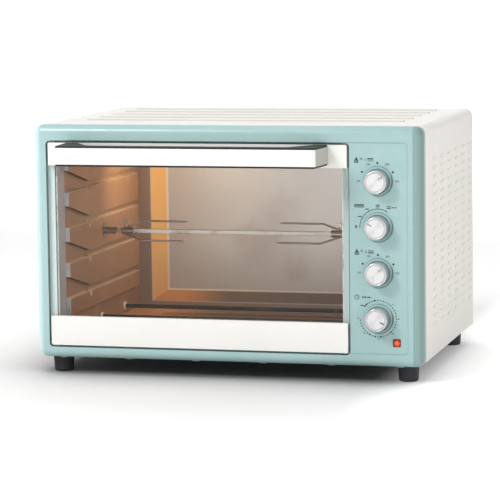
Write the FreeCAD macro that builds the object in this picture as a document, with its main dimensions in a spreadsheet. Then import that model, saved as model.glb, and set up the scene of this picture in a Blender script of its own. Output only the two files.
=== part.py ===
import FreeCAD, Part
import os
import re

import Sketcher

# Rotisserie oven, free standing, drop-down glass door, four dials. Millimetres.
# X runs to the right, Y to the back and Z up. The origin is on the floor, under the middle of the whole
# oven with its handle. Depths called "from the front" start at the fascia's front plane.

SIZES = [
    # whole oven
    ("body_width", 580, "fascia and case, side to side"),
    ("body_height", 343.7, "fascia, bottom edge to top edge"),
    ("case_depth", 391.3, "case behind the fascia"),
    ("fascia_depth", 18, "fascia, front to back"),
    ("ground_gap", 24, "floor to fascia"),
    ("case_lift", 5.4, "case bottom above the fascia's bottom edge"),
    ("handle_proud", 61, "handle front ahead of the fascia"),
    ("back_bulge", 22, "rear bulge behind the case"),
    ("case_sheet", 0.8, "steel sheet of the case, base and back"),
    ("liner_sheet", 0.8, "steel sheet of the cavity"),
    ("case_step", 0.8, "case inside the fascia's outline, each side"),
    ("case_hem", 10, "case turned in under the base"),
    ("corner_radius", 12.5, "upper and lower corners seen from the front"),
    ("part_gap", 0.3, "gap left between neighbouring parts"),
    # fascia
    ("shoulder_radius", 12, "rounding round the fascia's front"),
    ("border", 16, "outer edge to the raised band"),
    ("band_width", 6.5, "raised band round door and panel"),
    ("band_round", 6, "corners of the panel inside the band"),
    ("panel_step", 1.2, "panel behind the raised band"),
    ("sill_drop", 4, "how much narrower the border is below"),
    ("fascia_wall", 2.5, "wall of the fascia moulding"),
    ("panel_width", 107, "door opening to the oven's right side"),
    ("opening_left", 19, "oven's left side to the door opening"),
    ("opening_top", 23.4, "fascia top to the door opening"),
    ("opening_bottom", 16, "fascia bottom to the door opening"),
    ("opening_radius", 6, "corners of the door opening"),
    ("opening_depth", 8.6, "depth of the door's recess"),
    ("mouth_lip", 10.5, "ledge between door opening and cavity mouth"),
    ("lug_width", 9, "lugs under the fascia"),
    ("lug_drop", 1.2, "how far the lugs hang down"),
    ("lug_inset", 36.25, "outer lugs from the oven's sides"),
    # door
    ("door_gap_side", 3.3, "door to opening, each side"),
    ("door_gap_bottom", 3, "door to opening, below"),
    ("door_gap_top", 2.8, "door to opening, above"),
    ("glass_thickness", 4, "door glass"),
    ("glass_play", 0.2, "glass to trim, each face"),
    ("glass_grip", 9, "glass held inside each trim"),
    ("trim_sheet", 0.8, "stainless door trims"),
    ("top_trim", 33.3, "height of the upper trim"),
    ("bottom_trim", 43, "height of the lower trim"),
    ("pin_lift", 4, "hinge pin above the door's bottom edge"),
    ("pin_radius", 1.5, "hinge pin"),
    ("pin_play", 0.06, "running gap round pins and shafts"),
    ("pin_reach", 4, "hinge pin inside the fascia"),
    ("spigot_radius", 0.7, "thin inner end of the hinge pin"),
    ("spigot_length", 10, "thin inner end of the hinge pin"),
    ("arm_radius", 26, "middle of the hinge arm's arc"),
    ("arm_width", 6, "hinge arm, across the arc"),
    ("arm_sheet", 2, "hinge arm thickness"),
    ("arm_inset", 2.4, "door side to hinge arm"),
    ("arm_slot_play", 0.8, "slot round the hinge arm"),
    ("spring_wire", 1.2, "door spring wire"),
    ("spring_coils", 5, "turns of each door spring"),
    ("spring_play", 0.1, "spring to the trim round it"),
    ("spring_leg", 22, "straight leg of the door spring"),
    # handle
    ("handle_margin", 31.2, "door side to handle end"),
    ("handle_drop", 14.7, "door top to handle centre"),
    ("handle_height", 23.8, "steel cover of the handle"),
    ("handle_lip", 2.8, "plastic seen above and below the cover"),
    ("handle_thickness", 15, "bar, front to back"),
    ("post_width", 20, "handle post at the door"),
    ("post_root", 44, "handle post at the bar"),
    ("post_splay", 4, "how far each end slants outwards"),
    ("cover_sheet", 0.8, "steel cover of the handle"),
    ("handle_screw_radius", 2, "handle screws"),
    ("handle_screw_reach", 12, "handle screw inside the post"),
    # cavity
    ("liner_inset", 2.5, "cavity mouth to cavity wall"),
    ("floor_drop", 6, "cavity mouth to cavity floor"),
    ("roof_rise", 2, "cavity mouth to cavity roof"),
    ("cavity_rear", 4.35, "case back to the cavity's rear wall"),
    ("frame_flange", 3.6, "front flange of the cavity"),
    ("pad_depth", 7, "rack guides inside the wall"),
    ("pad_front", 42, "front of the rack guides from the front"),
    ("guide_rear", 21, "rear of the rack guides to the rear wall"),
    ("tab_height", 21, "front end of each guide"),
    ("throat", 137, "end of the guides' lead-in from the front"),
    ("channel_height", 8.8, "slot between two guides"),
    ("channel_first", 65.8, "cavity floor to the lowest slot"),
    ("channel_last", 67.1, "highest slot to the cavity roof"),
    ("lowest_guide", 25, "height of the lowest guide"),
    ("notch_depth", 8, "rack stop in a guide's upper edge"),
    ("notch_half", 9, "half the length of the rack stop"),
    ("recess_margin", 20, "rear recess from the side walls"),
    ("recess_margin_z", 8, "rear recess from floor and roof"),
    ("recess_slope", 26, "slanted edge of the rear recess"),
    ("recess_slope_z", 19, "slanted edge above and below"),
    ("recess_depth", 20, "rear recess behind the rear wall"),
    # heating
    ("heater_radius", 3.2, "heating tube"),
    ("heater_lift", 11, "heating tube from floor or roof"),
    ("heater_margin", 79.8, "outer heating tubes from the cavity's ends"),
    ("heater_tail", 3.5, "heating tube outside the cavity"),
    ("bead_radius", 7, "ceramic bead"),
    ("bead_neck", 5, "ceramic bead inside its hole"),
    ("bead_flange", 2, "ceramic bead inside the cavity"),
    # spit
    ("spit_side", 6.4, "square spit rod"),
    ("spit_tip_radius", 3, "round end of the spit rod"),
    ("cradle_reach", 19, "cradle inside the guide's face"),
    ("cradle_radius", 5.6, "cradle, outside"),
    ("cradle_play", 0.3, "spit tip in the cradle"),
    ("flange_radius", 12, "cradle's flange"),
    ("hub_length", 18.6, "fork hub"),
    ("hub_radius", 5.6, "fork hub"),
    ("fork_play", 0.1, "fork hub on the rod"),
    ("fork_left", 28.5, "left fork from the guide's face"),
    ("fork_right", 35.6, "right fork from the right guide's face"),
    ("tine_radius", 1.5, "fork tine"),
    ("tine_tilt", 40, "tines turned from upright, degrees"),
    ("tine_spread", 18, "tine from the spit axis"),
    ("tine_lead", 32, "splayed length of a tine"),
    ("tine_length", 62, "straight length of a tine"),
    ("wing_radius", 2, "thumb screw"),
    ("wing_height", 11, "thumb screw above the hub"),
    ("wing_width", 8, "thumb screw's wing"),
    ("socket_radius", 8, "drive socket"),
    ("socket_reach", 16, "drive socket inside the cavity"),
    ("socket_depth", 12, "spit end inside the socket"),
    ("socket_hole", 9, "hole in the cavity wall for the socket"),
    # drive and controls
    ("partition_gap", 12, "cavity wall to the heat shield"),
    ("motor_radius", 24.5, "spit motor"),
    ("motor_length", 22, "spit motor"),
    ("motor_shaft", 3.5, "radius of the motor's shaft"),
    ("knob_inset", 65.7, "oven's right side to the knob axis"),
    ("knob_first", 69.9, "fascia bottom to the lowest knob axis"),
    ("knob_last", 77.3, "highest knob axis to the fascia top"),
    ("collar_play", 0.5, "knob to the raised ring round it"),
    ("collar_height", 2.4, "raised ring above the panel"),
    ("collar_wall", 2.8, "raised ring's wall"),
    ("knob_radius", 17.4, "knob at its base"),
    ("knob_taper", 1.4, "how much the knob narrows"),
    ("knob_length", 20, "knob, base to face"),
    ("knob_gap", 0.6, "knob base to panel"),
    ("cap_radius", 14.4, "disc in the knob's face"),
    ("cap_depth", 1.2, "disc thickness"),
    ("pointer_length", 8, "pointer groove in the disc"),
    ("pointer_width", 2.2, "pointer groove in the disc"),
    ("shaft_radius", 3, "control shaft"),
    ("shaft_in_knob", 13, "shaft inside the knob"),
    ("shaft_in_control", 14, "shaft inside the control"),
    ("bush_radius", 4.6, "threaded bush through the panel"),
    ("thermostat_width", 30, "thermostat body"),
    ("thermostat_height", 38, "thermostat body"),
    ("thermostat_depth", 22, "thermostat body"),
    ("switch_side", 40, "function switch body"),
    ("switch_depth", 34, "function switch body"),
    ("timer_side", 46, "timer body"),
    ("timer_depth", 40, "timer body"),
    ("lamp_side", 11, "indicator lens"),
    ("lamp_inset", 39.4, "oven's right side to the indicator"),
    ("lamp_lift", 35.5, "fascia bottom to the indicator"),
    ("lamp_depth", 16, "indicator body behind the panel"),
    # case details
    ("vent_length", 28, "side vent slot"),
    ("vent_height", 2.6, "side vent slot"),
    ("vent_first", 76, "first vent column from the fascia's back"),
    ("vent_last", 24, "last vent column from the case back"),
    ("vent_low", 46, "case bottom to the lowest slot"),
    ("vent_high", 52.2, "highest slot to the fascia top"),
    ("vent_columns", 6, "columns of slots"),
    ("vent_rows", 20, "rows of slots"),
    ("rib_count", 5, "ribs across the top"),
    ("rib_first", 92, "first rib from the fascia's back"),
    ("rib_last", 50, "last rib from the case back"),
    ("rib_width", 14, "rib across"),
    ("rib_height", 1.2, "rib above the top"),
    ("rib_margin", 48, "rib end to the case side"),
    ("foot_inset_side", 29, "oven's side to foot centre"),
    ("foot_inset_front", 34.8, "front of oven to front foot"),
    ("foot_inset_rear", 34, "case back to rear foot"),
    ("foot_radius", 16, "foot at the top"),
    ("foot_taper", 2, "how much the foot narrows"),
    ("foot_round", 3, "rounding of the foot's edge"),
    ("foot_screw_radius", 2, "foot screw"),
    ("case_screw_radius", 1.9, "screws in the back panel"),
    ("base_rim", 6, "upturned edge of the base"),
    ("cord_hole_radius", 8, "cord inlet in the back panel"),
    ("block_width", 44, "terminal block"),
]

# Places worked out from the sizes. Each name stands for its formula in brackets.
FORMULAS = {
    "front": "(handle_proud - fascia_depth - case_depth - back_bulge) / 2",
    "fascia_back": "front + fascia_depth",
    "case_back": "fascia_back + case_depth",
    "side": "body_width / 2",
    "bottom": "ground_gap",
    "top": "ground_gap + body_height",
    "case_bottom": "ground_gap + case_lift",
    "case_side": "side - case_step",
    "open_x0": "opening_left - side",
    "open_x1": "side - panel_width",
    "open_z0": "bottom + opening_bottom",
    "open_z1": "top - opening_top",
    "ledge_front": "front + opening_depth",
    "ledge_back": "ledge_front + fascia_wall",
    "mouth_x0": "open_x0 + mouth_lip",
    "mouth_x1": "open_x1 - mouth_lip",
    "mouth_z0": "open_z0 + mouth_lip",
    "mouth_z1": "open_z1 - mouth_lip",
    "door_x0": "open_x0 + door_gap_side",
    "door_x1": "open_x1 - door_gap_side",
    "door_z0": "open_z0 + door_gap_bottom",
    "door_z1": "open_z1 - door_gap_top",
    "door_thickness": "glass_thickness + 2 * (trim_sheet + glass_play)",
    "door_back": "front + door_thickness",
    "pin_y": "front + door_thickness / 2",
    "pin_z": "door_z0 + pin_lift",
    "wall_x0": "mouth_x0 + liner_inset",
    "wall_x1": "mouth_x1 - liner_inset",
    "floor_z": "mouth_z0 - floor_drop",
    "roof_z": "mouth_z1 + roof_rise",
    "liner_front": "ledge_back + part_gap",
    "liner_back": "case_back - cavity_rear",
    "channel_pitch": "(roof_z - floor_z - channel_first - channel_last) / 3",
    "heater_pitch": "(liner_back - liner_front) / 2 - heater_margin",
    "collar_radius": "knob_radius + collar_play + collar_wall",
    "knob_pitch": "(body_height - knob_first - knob_last) / 3",
    "vent_pitch": "(case_depth - vent_first - vent_last) / (vent_columns - 1)",
    "vent_rise": "(top - vent_high - case_bottom - vent_low) / (vent_rows - 1)",
    "rib_pitch": "(case_depth - rib_first - rib_last) / (rib_count - 1)",
    "lug_pitch": "(body_width - 2 * lug_inset) / 5",
    "middle_x": "(wall_x0 + wall_x1) / 2",
    "spit_y": "(liner_front + liner_back) / 2",
    "spit_z": "(floor_z + roof_z) / 2",
    "guide_x0": "wall_x0 + pad_depth",
    "guide_x1": "wall_x1 - pad_depth",
    "handle_x0": "door_x0 + handle_margin",
    "handle_x1": "door_x1 - handle_margin",
    "handle_z": "door_z1 - handle_drop",
    "handle_front": "front - handle_proud",
    "bar_back": "handle_front + handle_thickness",
    "shield_x": "wall_x1 + liner_sheet + partition_gap",
    "panel_front": "front + panel_step",
    "panel_back": "panel_front + fascia_wall",
    "knob_x": "side - knob_inset",
    "knob_z": "bottom + knob_first",
    "knob_base": "panel_front - knob_gap",
    "knob_face": "knob_base - knob_length",
    "lamp_x": "side - lamp_inset",
    "lamp_z": "bottom + lamp_lift",
    "foot_x": "side - foot_inset_side",
    "foot_y0": "front + foot_inset_front",
    "foot_y1": "case_back - foot_inset_rear",
    "back_plate": "case_back - 1.8",
}

os.makedirs("parts", exist_ok=True)
doc = FreeCAD.newDocument("rotisserie_oven")
sheet = doc.addObject("Spreadsheet::Sheet", "sizes")
for row, (alias, number, meaning) in enumerate(SIZES, start=1):
    sheet.set(f"A{row}", meaning)
    sheet.set(f"B{row}", str(number))
    sheet.setAlias(f"B{row}", alias)
doc.recompute()

probe = doc.addObject("Part::Vertex", "probe")

ALIASES = {alias for alias, number, meaning in SIZES}
X_AXIS = FreeCAD.Vector(1, 0, 0)
Y_AXIS = FreeCAD.Vector(0, 1, 0)
Z_AXIS = FreeCAD.Vector(0, 0, 1)
NODES = []


# ---------------------------------------------------------------- helpers

def spell(text):
    """Spell an expression out in cells of the sheet."""
    def word(match):
        name = match.group(0)
        if name in FORMULAS:
            return "(" + spell(FORMULAS[name]) + ")"
        if name in ALIASES:
            return "sizes." + name
        return name
    return re.sub(r"[a-z][a-z_0-9]*", word, str(text))


def number(text):
    """The value of an expression now."""
    probe.setExpression("X", spell(text))
    probe.recompute()
    return float(probe.X)


def bind(thing, **properties):
    """Tie properties to expressions; a double underscore stands for a dot."""
    for name, text in properties.items():
        thing.setExpression(name.replace("__", "."), spell(text))
    return thing


def move_to(thing, x, y, z):
    return bind(thing, Placement__Base__x=x, Placement__Base__y=y, Placement__Base__z=z)


def node(thing, name):
    """Name a finished sub-part, which is then written to its own file."""
    thing.Label = name
    NODES.append(thing)
    return thing


def box(x0, x1, y0, y1, z0, z1):
    """A box from its low to its high corner."""
    block = doc.addObject("Part::Box", "block")
    bind(block, Length=f"({x1}) - ({x0})", Width=f"({y1}) - ({y0})", Height=f"({z1}) - ({z0})")
    return move_to(block, x0, y0, z0)


def rod(axis, x, y, z, radius, length, top_radius=None):
    """A cylinder, or a cone with top_radius, that starts at a point and runs along +X, +Y or +Z."""
    turn = {"x": FreeCAD.Rotation(Y_AXIS, 90), "y": FreeCAD.Rotation(X_AXIS, -90), "z": FreeCAD.Rotation()}
    if top_radius is None:
        piece = doc.addObject("Part::Cylinder", "rod")
        bind(piece, Radius=radius, Height=length)
    else:
        piece = doc.addObject("Part::Cone", "cone")
        bind(piece, Radius1=radius, Radius2=top_radius, Height=length)
    piece.Placement = FreeCAD.Placement(FreeCAD.Vector(), turn[axis])
    return move_to(piece, x, y, z)


def fuse(*pieces):
    joined = doc.addObject("Part::MultiFuse", "joined")
    joined.Shapes = list(pieces)
    joined.Refine = True
    return joined


def cut(base, *tools):
    """Take tools away from base."""
    result = doc.addObject("Part::Cut", "cut")
    result.Base = base
    result.Tool = tools[0] if len(tools) == 1 else fuse(*tools)
    result.Refine = True
    return result


def group(*pieces):
    """Separate solids that share one sub-part."""
    together = doc.addObject("Part::Compound", "group")
    together.Links = list(pieces)
    return together


def mirrored(piece, x):
    """A copy of a piece, mirrored in the upright plane at x."""
    copy = doc.addObject("Part::Mirroring", "mirrored")
    copy.Source = piece
    copy.Normal = X_AXIS
    bind(copy, Base__x=x)
    return copy


def rounded(base, radius, wanted):
    """Round the edges that wanted(edge) picks."""
    doc.recompute()
    size = number(radius)
    edges = [(i, size, size) for i, edge in enumerate(base.Shape.Edges, start=1) if wanted(edge)]
    if not edges:
        raise ValueError(f"no edge to round on {base.Label}")
    result = doc.addObject("Part::Fillet", "rounded")
    result.Base = base
    result.Edges = edges
    return result


def runs_along(edge, axis):
    """Whether an edge is straight and parallel to an axis."""
    if not isinstance(edge.Curve, (Part.Line, Part.LineSegment)):
        return False
    return edge.tangentAt(edge.FirstParameter).cross(axis).Length < 1e-6


def near(edge, **place):
    """Whether the middle of an edge lies at the given coordinates."""
    middle = edge.valueAt((edge.FirstParameter + edge.LastParameter) / 2)
    return all(abs(getattr(middle, name) - number(text)) < 0.05 for name, text in place.items())


PLANES = {
    "xy": FreeCAD.Rotation(),
    "xz": FreeCAD.Rotation(X_AXIS, 90),
    "yz": FreeCAD.Rotation(FreeCAD.Vector(1, 1, 1), 120),
}


def pin_points(sketch, points):
    """Draw a closed outline of straight lines and tie every corner to the sheet."""
    spots = [FreeCAD.Vector(number(u), number(v), 0) for u, v in points]
    for i, spot in enumerate(spots):
        sketch.addGeometry(Part.LineSegment(spot, spots[(i + 1) % len(spots)]), False)
    for i in range(len(spots)):
        sketch.addConstraint(Sketcher.Constraint("Coincident", i, 2, (i + 1) % len(spots), 1))
    for i, (spot, (u, v)) in enumerate(zip(spots, points)):
        for kind, place, text in (("DistanceX", spot.x, u), ("DistanceY", spot.y, v)):
            index = sketch.addConstraint(Sketcher.Constraint(kind, -1, 1, i, 1, place))
            sketch.setExpression(f"Constraints[{index}]", spell(text))


def prism(plane, low, high, points):
    """An outline in a plane, drawn at low and extruded to high along the plane's own axis."""
    outline = doc.addObject("Sketcher::SketchObject", "outline")
    outline.Placement = FreeCAD.Placement(FreeCAD.Vector(), PLANES[plane])
    pin_points(outline, points)
    along = {"xy": ("z", Z_AXIS), "xz": ("y", Y_AXIS), "yz": ("x", X_AXIS)}[plane]
    bind(outline, **{"Placement__Base__" + along[0]: low})
    solid = doc.addObject("Part::Extrusion", "prism")
    solid.Base = outline
    solid.DirMode = "Custom"
    solid.Dir = along[1]
    solid.Solid = True
    return bind(solid, LengthFwd=f"({high}) - ({low})")


def rectangle(u0, u1, v0, v1):
    return [(u0, v0), (u1, v0), (u1, v1), (u0, v1)]


def new_body(name):
    return doc.addObject("PartDesign::Body", name)


def sketch_on(body, role, offset, points):
    """A sketch on one of a body's own origin planes, moved along the plane's normal by offset."""
    plane = next(item for item in body.Origin.OriginFeatures if item.Role == role)
    sketch = body.newObject("Sketcher::SketchObject", "profile")
    sketch.AttachmentSupport = [(plane, "")]
    sketch.MapMode = "FlatFace"
    bind(sketch, AttachmentOffset__Base__z=offset)
    pin_points(sketch, points)
    return sketch


def revolved(name, points, x, y, z):
    """A body turned about an axis along Y: points are (radius, distance behind the base point)."""
    body = new_body(name)
    profile = sketch_on(body, "XY_Plane", "0", points)
    turned = body.newObject("PartDesign::Revolution", "turned")
    turned.Profile = profile
    turned.ReferenceAxis = (profile, ["V_Axis"])
    turned.Angle = 360
    move_to(body, x, y, z)
    return body


# ---------------------------------------------------------------- fascia

def knob_places():
    """Name and height of the four control axes, from the top down."""
    names = ("upper_heat", "function", "lower_heat", "timer")
    return [(name, f"knob_z + {3 - i} * knob_pitch") for i, name in enumerate(names)]


def front_fascia():
    body = new_body("fascia")
    outline = rectangle("-side", "side", "bottom", "top")
    slab = body.newObject("PartDesign::Pad", "slab")
    slab.Profile = sketch_on(body, "XZ_Plane", "-(fascia_back)", outline)
    bind(slab, Length="fascia_depth")
    doc.recompute()

    corners = body.newObject("PartDesign::Fillet", "corners")
    corners.Base = (slab, [f"Edge{i}" for i, edge in enumerate(slab.Shape.Edges, 1) if runs_along(edge, Y_AXIS)])
    bind(corners, Radius="corner_radius")
    doc.recompute()

    shoulder = body.newObject("PartDesign::Fillet", "shoulder")
    front_edge = [f"Edge{i}" for i, edge in enumerate(corners.Shape.Edges, 1) if near_front(edge)]
    shoulder.Base = (corners, front_edge)
    bind(shoulder, Radius="shoulder_radius")
    doc.recompute()
    if slab.Shape.Volume <= shoulder.Shape.Volume:
        raise ValueError("the fascia's shoulder was not rounded")

    inset = "border + band_width"
    field = rounded(box(f"{inset} - side", f"side - ({inset})", "front - 1", "panel_front",
                        f"bottom + {inset} - sill_drop", f"top - ({inset})"),
                    "band_round", lambda edge: runs_along(edge, Y_AXIS))
    opening = rounded(box("open_x0", "open_x1", "front - 1", "ledge_front", "open_z0", "open_z1"),
                      "opening_radius", lambda edge: runs_along(edge, Y_AXIS))
    mouth = rounded(box("mouth_x0", "mouth_x1", "front", "fascia_back + 1", "mouth_z0", "mouth_z1"),
                    "opening_radius", lambda edge: runs_along(edge, Y_AXIS))
    hollow_right = box("open_x1 + fascia_wall", "side - fascia_wall - 1", "panel_back", "fascia_back + 1",
                       "bottom + fascia_wall + 6", "top - fascia_wall - 6")
    hollow_door = box("mouth_x0 - mouth_lip + 1", "mouth_x1 + mouth_lip - 1", "ledge_back", "fascia_back + 1",
                      "mouth_z0 - mouth_lip + 1", "mouth_z1 + mouth_lip - 1")
    raised = []
    holes = []
    for name, z in knob_places():
        raised.append(rod("y", "knob_x", "panel_front - collar_height", z, "collar_radius", "collar_height + 1"))
        holes.append(rod("y", "knob_x", "panel_front - collar_height - 1", z,
                         "collar_radius - collar_wall", "collar_height + 1"))
        holes.append(rod("y", "knob_x", "front", z, "bush_radius + part_gap", "fascia_depth"))
    lens = box("lamp_x - lamp_side / 2 - part_gap", "lamp_x + lamp_side / 2 + part_gap", "front", "fascia_back",
               "lamp_z - lamp_side / 2 - part_gap", "lamp_z + lamp_side / 2 + part_gap")
    lens = rounded(lens, "2", lambda edge: runs_along(edge, Y_AXIS))
    for x in ("door_x0 - door_gap_side - pin_reach - 0.5", "door_x1 - 1"):
        holes.append(rod("x", x, "pin_y", "pin_z", "pin_radius + pin_play", "door_gap_side + pin_reach + 1.5"))
    for x in ("door_x0 + arm_inset", "door_x1 - arm_inset - arm_sheet"):
        holes.append(box(f"{x} - arm_slot_play", f"{x} + arm_sheet + arm_slot_play", "front + 1", "fascia_back + 1",
                         "pin_z + arm_radius - arm_width / 2 - 2.3", "pin_z + arm_radius + arm_width / 2 + 1"))
    lugs = []
    for i in range(6):
        lugs.append(box(f"{i - 2.5} * lug_pitch - lug_width / 2", f"{i - 2.5} * lug_pitch + lug_width / 2",
                        "front + shoulder_radius", "fascia_back", "bottom - lug_drop", "bottom + 1"))
    shell = cut(body, field, opening, mouth, hollow_right, hollow_door)
    shell = fuse(shell, *raised, *lugs)
    node(cut(shell, lens, *holes), "front_fascia")


def near_front(edge):
    """Whether a whole edge lies in the fascia's front plane."""
    return all(abs(vertex.Point.y - number("front")) < 0.01 for vertex in edge.Vertexes)


# ---------------------------------------------------------------- case, base and back

def outer_case():
    body = new_body("case")
    outline = [
        ("-(case_side)", "case_bottom"), ("case_hem - case_side", "case_bottom"),
        ("case_hem - case_side", "case_bottom + case_sheet"), ("-(case_side) + case_sheet", "case_bottom + case_sheet"),
        ("-(case_side) + case_sheet", "top - case_sheet"), ("case_side - case_sheet", "top - case_sheet"),
        ("case_side - case_sheet", "case_bottom + case_sheet"), ("case_side - case_hem", "case_bottom + case_sheet"),
        ("case_side - case_hem", "case_bottom"), ("case_side", "case_bottom"),
        ("case_side", "top"), ("-(case_side)", "top"),
    ]
    wrap = body.newObject("PartDesign::Pad", "wrap")
    wrap.Profile = sketch_on(body, "XZ_Plane", "-(case_back)", outline)
    bind(wrap, Length="case_depth")
    doc.recompute()

    bends = body.newObject("PartDesign::Fillet", "bends")
    outside = [f"Edge{i}" for i, edge in enumerate(wrap.Shape.Edges, 1)
               if runs_along(edge, Y_AXIS) and near(edge, z="top")]
    bends.Base = (wrap, outside)
    bind(bends, Radius="corner_radius")
    doc.recompute()
    folds = body.newObject("PartDesign::Fillet", "folds")
    inside = [f"Edge{i}" for i, edge in enumerate(bends.Shape.Edges, 1)
              if runs_along(edge, Y_AXIS) and near(edge, z="top - case_sheet")]
    folds.Base = (bends, inside)
    bind(folds, Radius="corner_radius - case_sheet")
    doc.recompute()

    vent = body.newObject("PartDesign::Pocket", "vent")
    first_y = "fascia_back + vent_first"
    first_z = "case_bottom + vent_low"
    vent.Profile = sketch_on(body, "YZ_Plane", "side + 5", rectangle(
        f"{first_y} - vent_length / 2", f"{first_y} + vent_length / 2",
        f"{first_z} - vent_height / 2", f"{first_z} + vent_height / 2"))
    bind(vent, Length="body_width + 10")
    doc.recompute()
    if vent.Shape.Volume >= folds.Shape.Volume:
        raise ValueError("the side vents cut nothing")

    vents = body.newObject("PartDesign::MultiTransform", "vents")
    vents.Originals = [vent]
    columns = body.newObject("PartDesign::LinearPattern", "columns")
    columns.Direction = (vent.Profile[0], ["H_Axis"])
    columns.Occurrences = int(number("vent_columns"))
    bind(columns, Length="vent_pitch * (vent_columns - 1)")
    rows = body.newObject("PartDesign::LinearPattern", "rows")
    rows.Direction = (vent.Profile[0], ["V_Axis"])
    rows.Occurrences = int(number("vent_rows"))
    bind(rows, Length="vent_rise * (vent_rows - 1)")
    vents.Transformations = [columns, rows]
    body.Tip = vents
    doc.recompute()

    ribs = []
    for i in range(int(number("rib_count"))):
        y = f"fascia_back + rib_first + {i} * rib_pitch"
        ribs.append(prism("yz", "rib_margin - case_side", "case_side - rib_margin", [
            (f"{y} - rib_width / 2", "top - case_sheet / 2"), (f"{y} + rib_width / 2", "top - case_sheet / 2"),
            (f"{y} + rib_width / 2", "top"), (f"{y} + rib_width / 4", "top + rib_height"),
            (f"{y} - rib_width / 4", "top + rib_height"), (f"{y} - rib_width / 2", "top")]))
    node(fuse(body, *ribs), "outer_case")


def base_pan():
    inner = "case_side - case_sheet - part_gap"
    floor = "case_bottom + case_sheet + part_gap"
    tray = cut(box(f"-({inner})", inner, "fascia_back + 0.5", "case_back - 3", floor, f"{floor} + base_rim"),
               box(f"case_sheet - ({inner})", f"{inner} - case_sheet", "fascia_back + 0.5 + case_sheet",
                   "case_back - 3 - case_sheet", f"{floor} + case_sheet", f"{floor} + base_rim + 1"))
    holes = [rod("y", x, "case_back - 5", z, "case_screw_radius + 0.2", "4") for x, z in screw_places()]
    for x in ("-(foot_x)", "foot_x"):
        for y in ("foot_y0", "foot_y1"):
            holes.append(rod("z", x, y, f"{floor} - 1", "foot_screw_radius + 0.2", "case_sheet + 2"))
    for i in range(9):
        x = f"middle_x + {i - 4} * 34"
        holes.append(box(f"{x} - 2.5", f"{x} + 2.5", "spit_y - 60", "spit_y + 60", f"{floor} - 1", f"{floor} + 2"))
    node(cut(tray, *holes), "base_pan")


def bulge(x0, x1, z0, z1, slope_x, slope_z, low, high):
    """A tapered block behind an upright plate, between two depths."""
    block = doc.addObject("Part::Wedge", "bulge")
    block.Placement = FreeCAD.Placement(FreeCAD.Vector(), FreeCAD.Rotation())
    bind(block, Xmin=x0, Xmax=x1, Zmin=z0, Zmax=z1, Ymin=low, Ymax=high,
         X2min=f"({x0}) + ({slope_x})", X2max=f"({x1}) - ({slope_x})",
         Z2min=f"({z0}) + ({slope_z})", Z2max=f"({z1}) - ({slope_z})")
    return block


def back_panel():
    inner = "case_side - case_sheet - part_gap"
    low = "case_bottom + case_sheet + part_gap"
    high = "top - case_sheet - part_gap"
    plate = rounded(box(f"-({inner})", inner, "back_plate", "back_plate + case_sheet", low, high),
                    "corner_radius - case_sheet", lambda edge: runs_along(edge, Y_AXIS) and near(edge, z=high))
    x0 = "wall_x0 + recess_margin - 8"
    x1 = "wall_x1 - recess_margin + 8"
    z0 = "floor_z + recess_margin_z - 6"
    z1 = "roof_z - recess_margin_z + 6"
    end = "case_back + back_bulge"
    outside = bulge(x0, x1, z0, z1, "recess_slope", "recess_slope_z", "back_plate + case_sheet", end)
    inside = bulge(f"{x0} + 1", f"{x1} - 1", f"{z0} + 1", f"{z1} - 1", "recess_slope", "recess_slope_z",
                   "back_plate + case_sheet", f"{end} - case_sheet")
    way_in = box(f"{x0} + 1", f"{x1} - 1", "back_plate - 1", "back_plate + case_sheet + 0.01",
                 f"{z0} + 1", f"{z1} - 1")
    holes = [rod("y", "side - 62", "back_plate - 1", "case_bottom + 40", "cord_hole_radius", "3")]
    for i in range(10):
        z = f"case_bottom + 110 + {i} * 18"
        holes.append(box("side - 92", "side - 32", "back_plate - 1", "back_plate + 2", z, f"{z} + 4"))
    for x, z in screw_places():
        holes.append(rod("y", x, "back_plate - 1", z, "case_screw_radius + 0.1", "3"))
    node(cut(fuse(plate, outside), inside, way_in, *holes), "back_panel")


def screw_places():
    """Screws round the edge of the back panel."""
    places = []
    for x in ("-(side - 12)", "side - 12"):
        for z in ("case_bottom + 20", "(case_bottom + top) / 2", "top - 24"):
            places.append((x, z))
    for x in ("-150", "0", "150"):
        places.append((x, "case_bottom + 4.2"))
        places.append((x, "top - 8"))
    return places


def fixed_fasteners():
    screws = []
    for x, z in screw_places():
        head = rod("y", x, "back_plate + case_sheet", z, "case_screw_radius * 1.9", "2.2", "case_screw_radius * 1.4")
        slot = fuse(box(f"{x} - 2", f"{x} + 2", "back_plate + case_sheet + 1.3", "back_plate + 6",
                        f"{z} - 0.4", f"{z} + 0.4"),
                    box(f"{x} - 0.4", f"{x} + 0.4", "back_plate + case_sheet + 1.3", "back_plate + 6",
                        f"{z} - 2", f"{z} + 2"))
        shank = rod("y", x, "back_plate - 4", z, "case_screw_radius", "4 + case_sheet + 0.1")
        screws.append(cut(fuse(head, shank), slot))
    node(group(*screws), "case_screws")

    floor = "case_bottom + case_sheet + part_gap + case_sheet"
    feet = []
    bolts = []
    for x in ("-(foot_x)", "foot_x"):
        for y in ("foot_y0", "foot_y1"):
            feet.append(foot(x, y))
            head = rod("z", x, y, floor, "foot_screw_radius * 2", "2.4", "foot_screw_radius * 1.5")
            shank = rod("z", x, y, f"{floor} - 12", "foot_screw_radius", "12.1")
            bolts.append(fuse(head, shank))
    node(group(*feet), "feet")
    node(group(*bolts), "foot_screws")


def foot(x, y):
    """A tapered rubber-like foot with a rounded sole and a screw hole from above."""
    tall = "case_bottom - 0.05"
    cone = rod("z", x, y, "0", "foot_radius - foot_taper", tall, "foot_radius")
    cone = rounded(cone, "foot_round", lambda edge: near_height(edge, "0"))
    return cut(cone, rod("z", x, y, f"{tall} - 14", "foot_screw_radius", "16"))


def near_height(edge, text):
    return all(abs(vertex.Point.z - number(text)) < 0.01 for vertex in edge.Vertexes) and not runs_along(edge, Z_AXIS)


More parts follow.
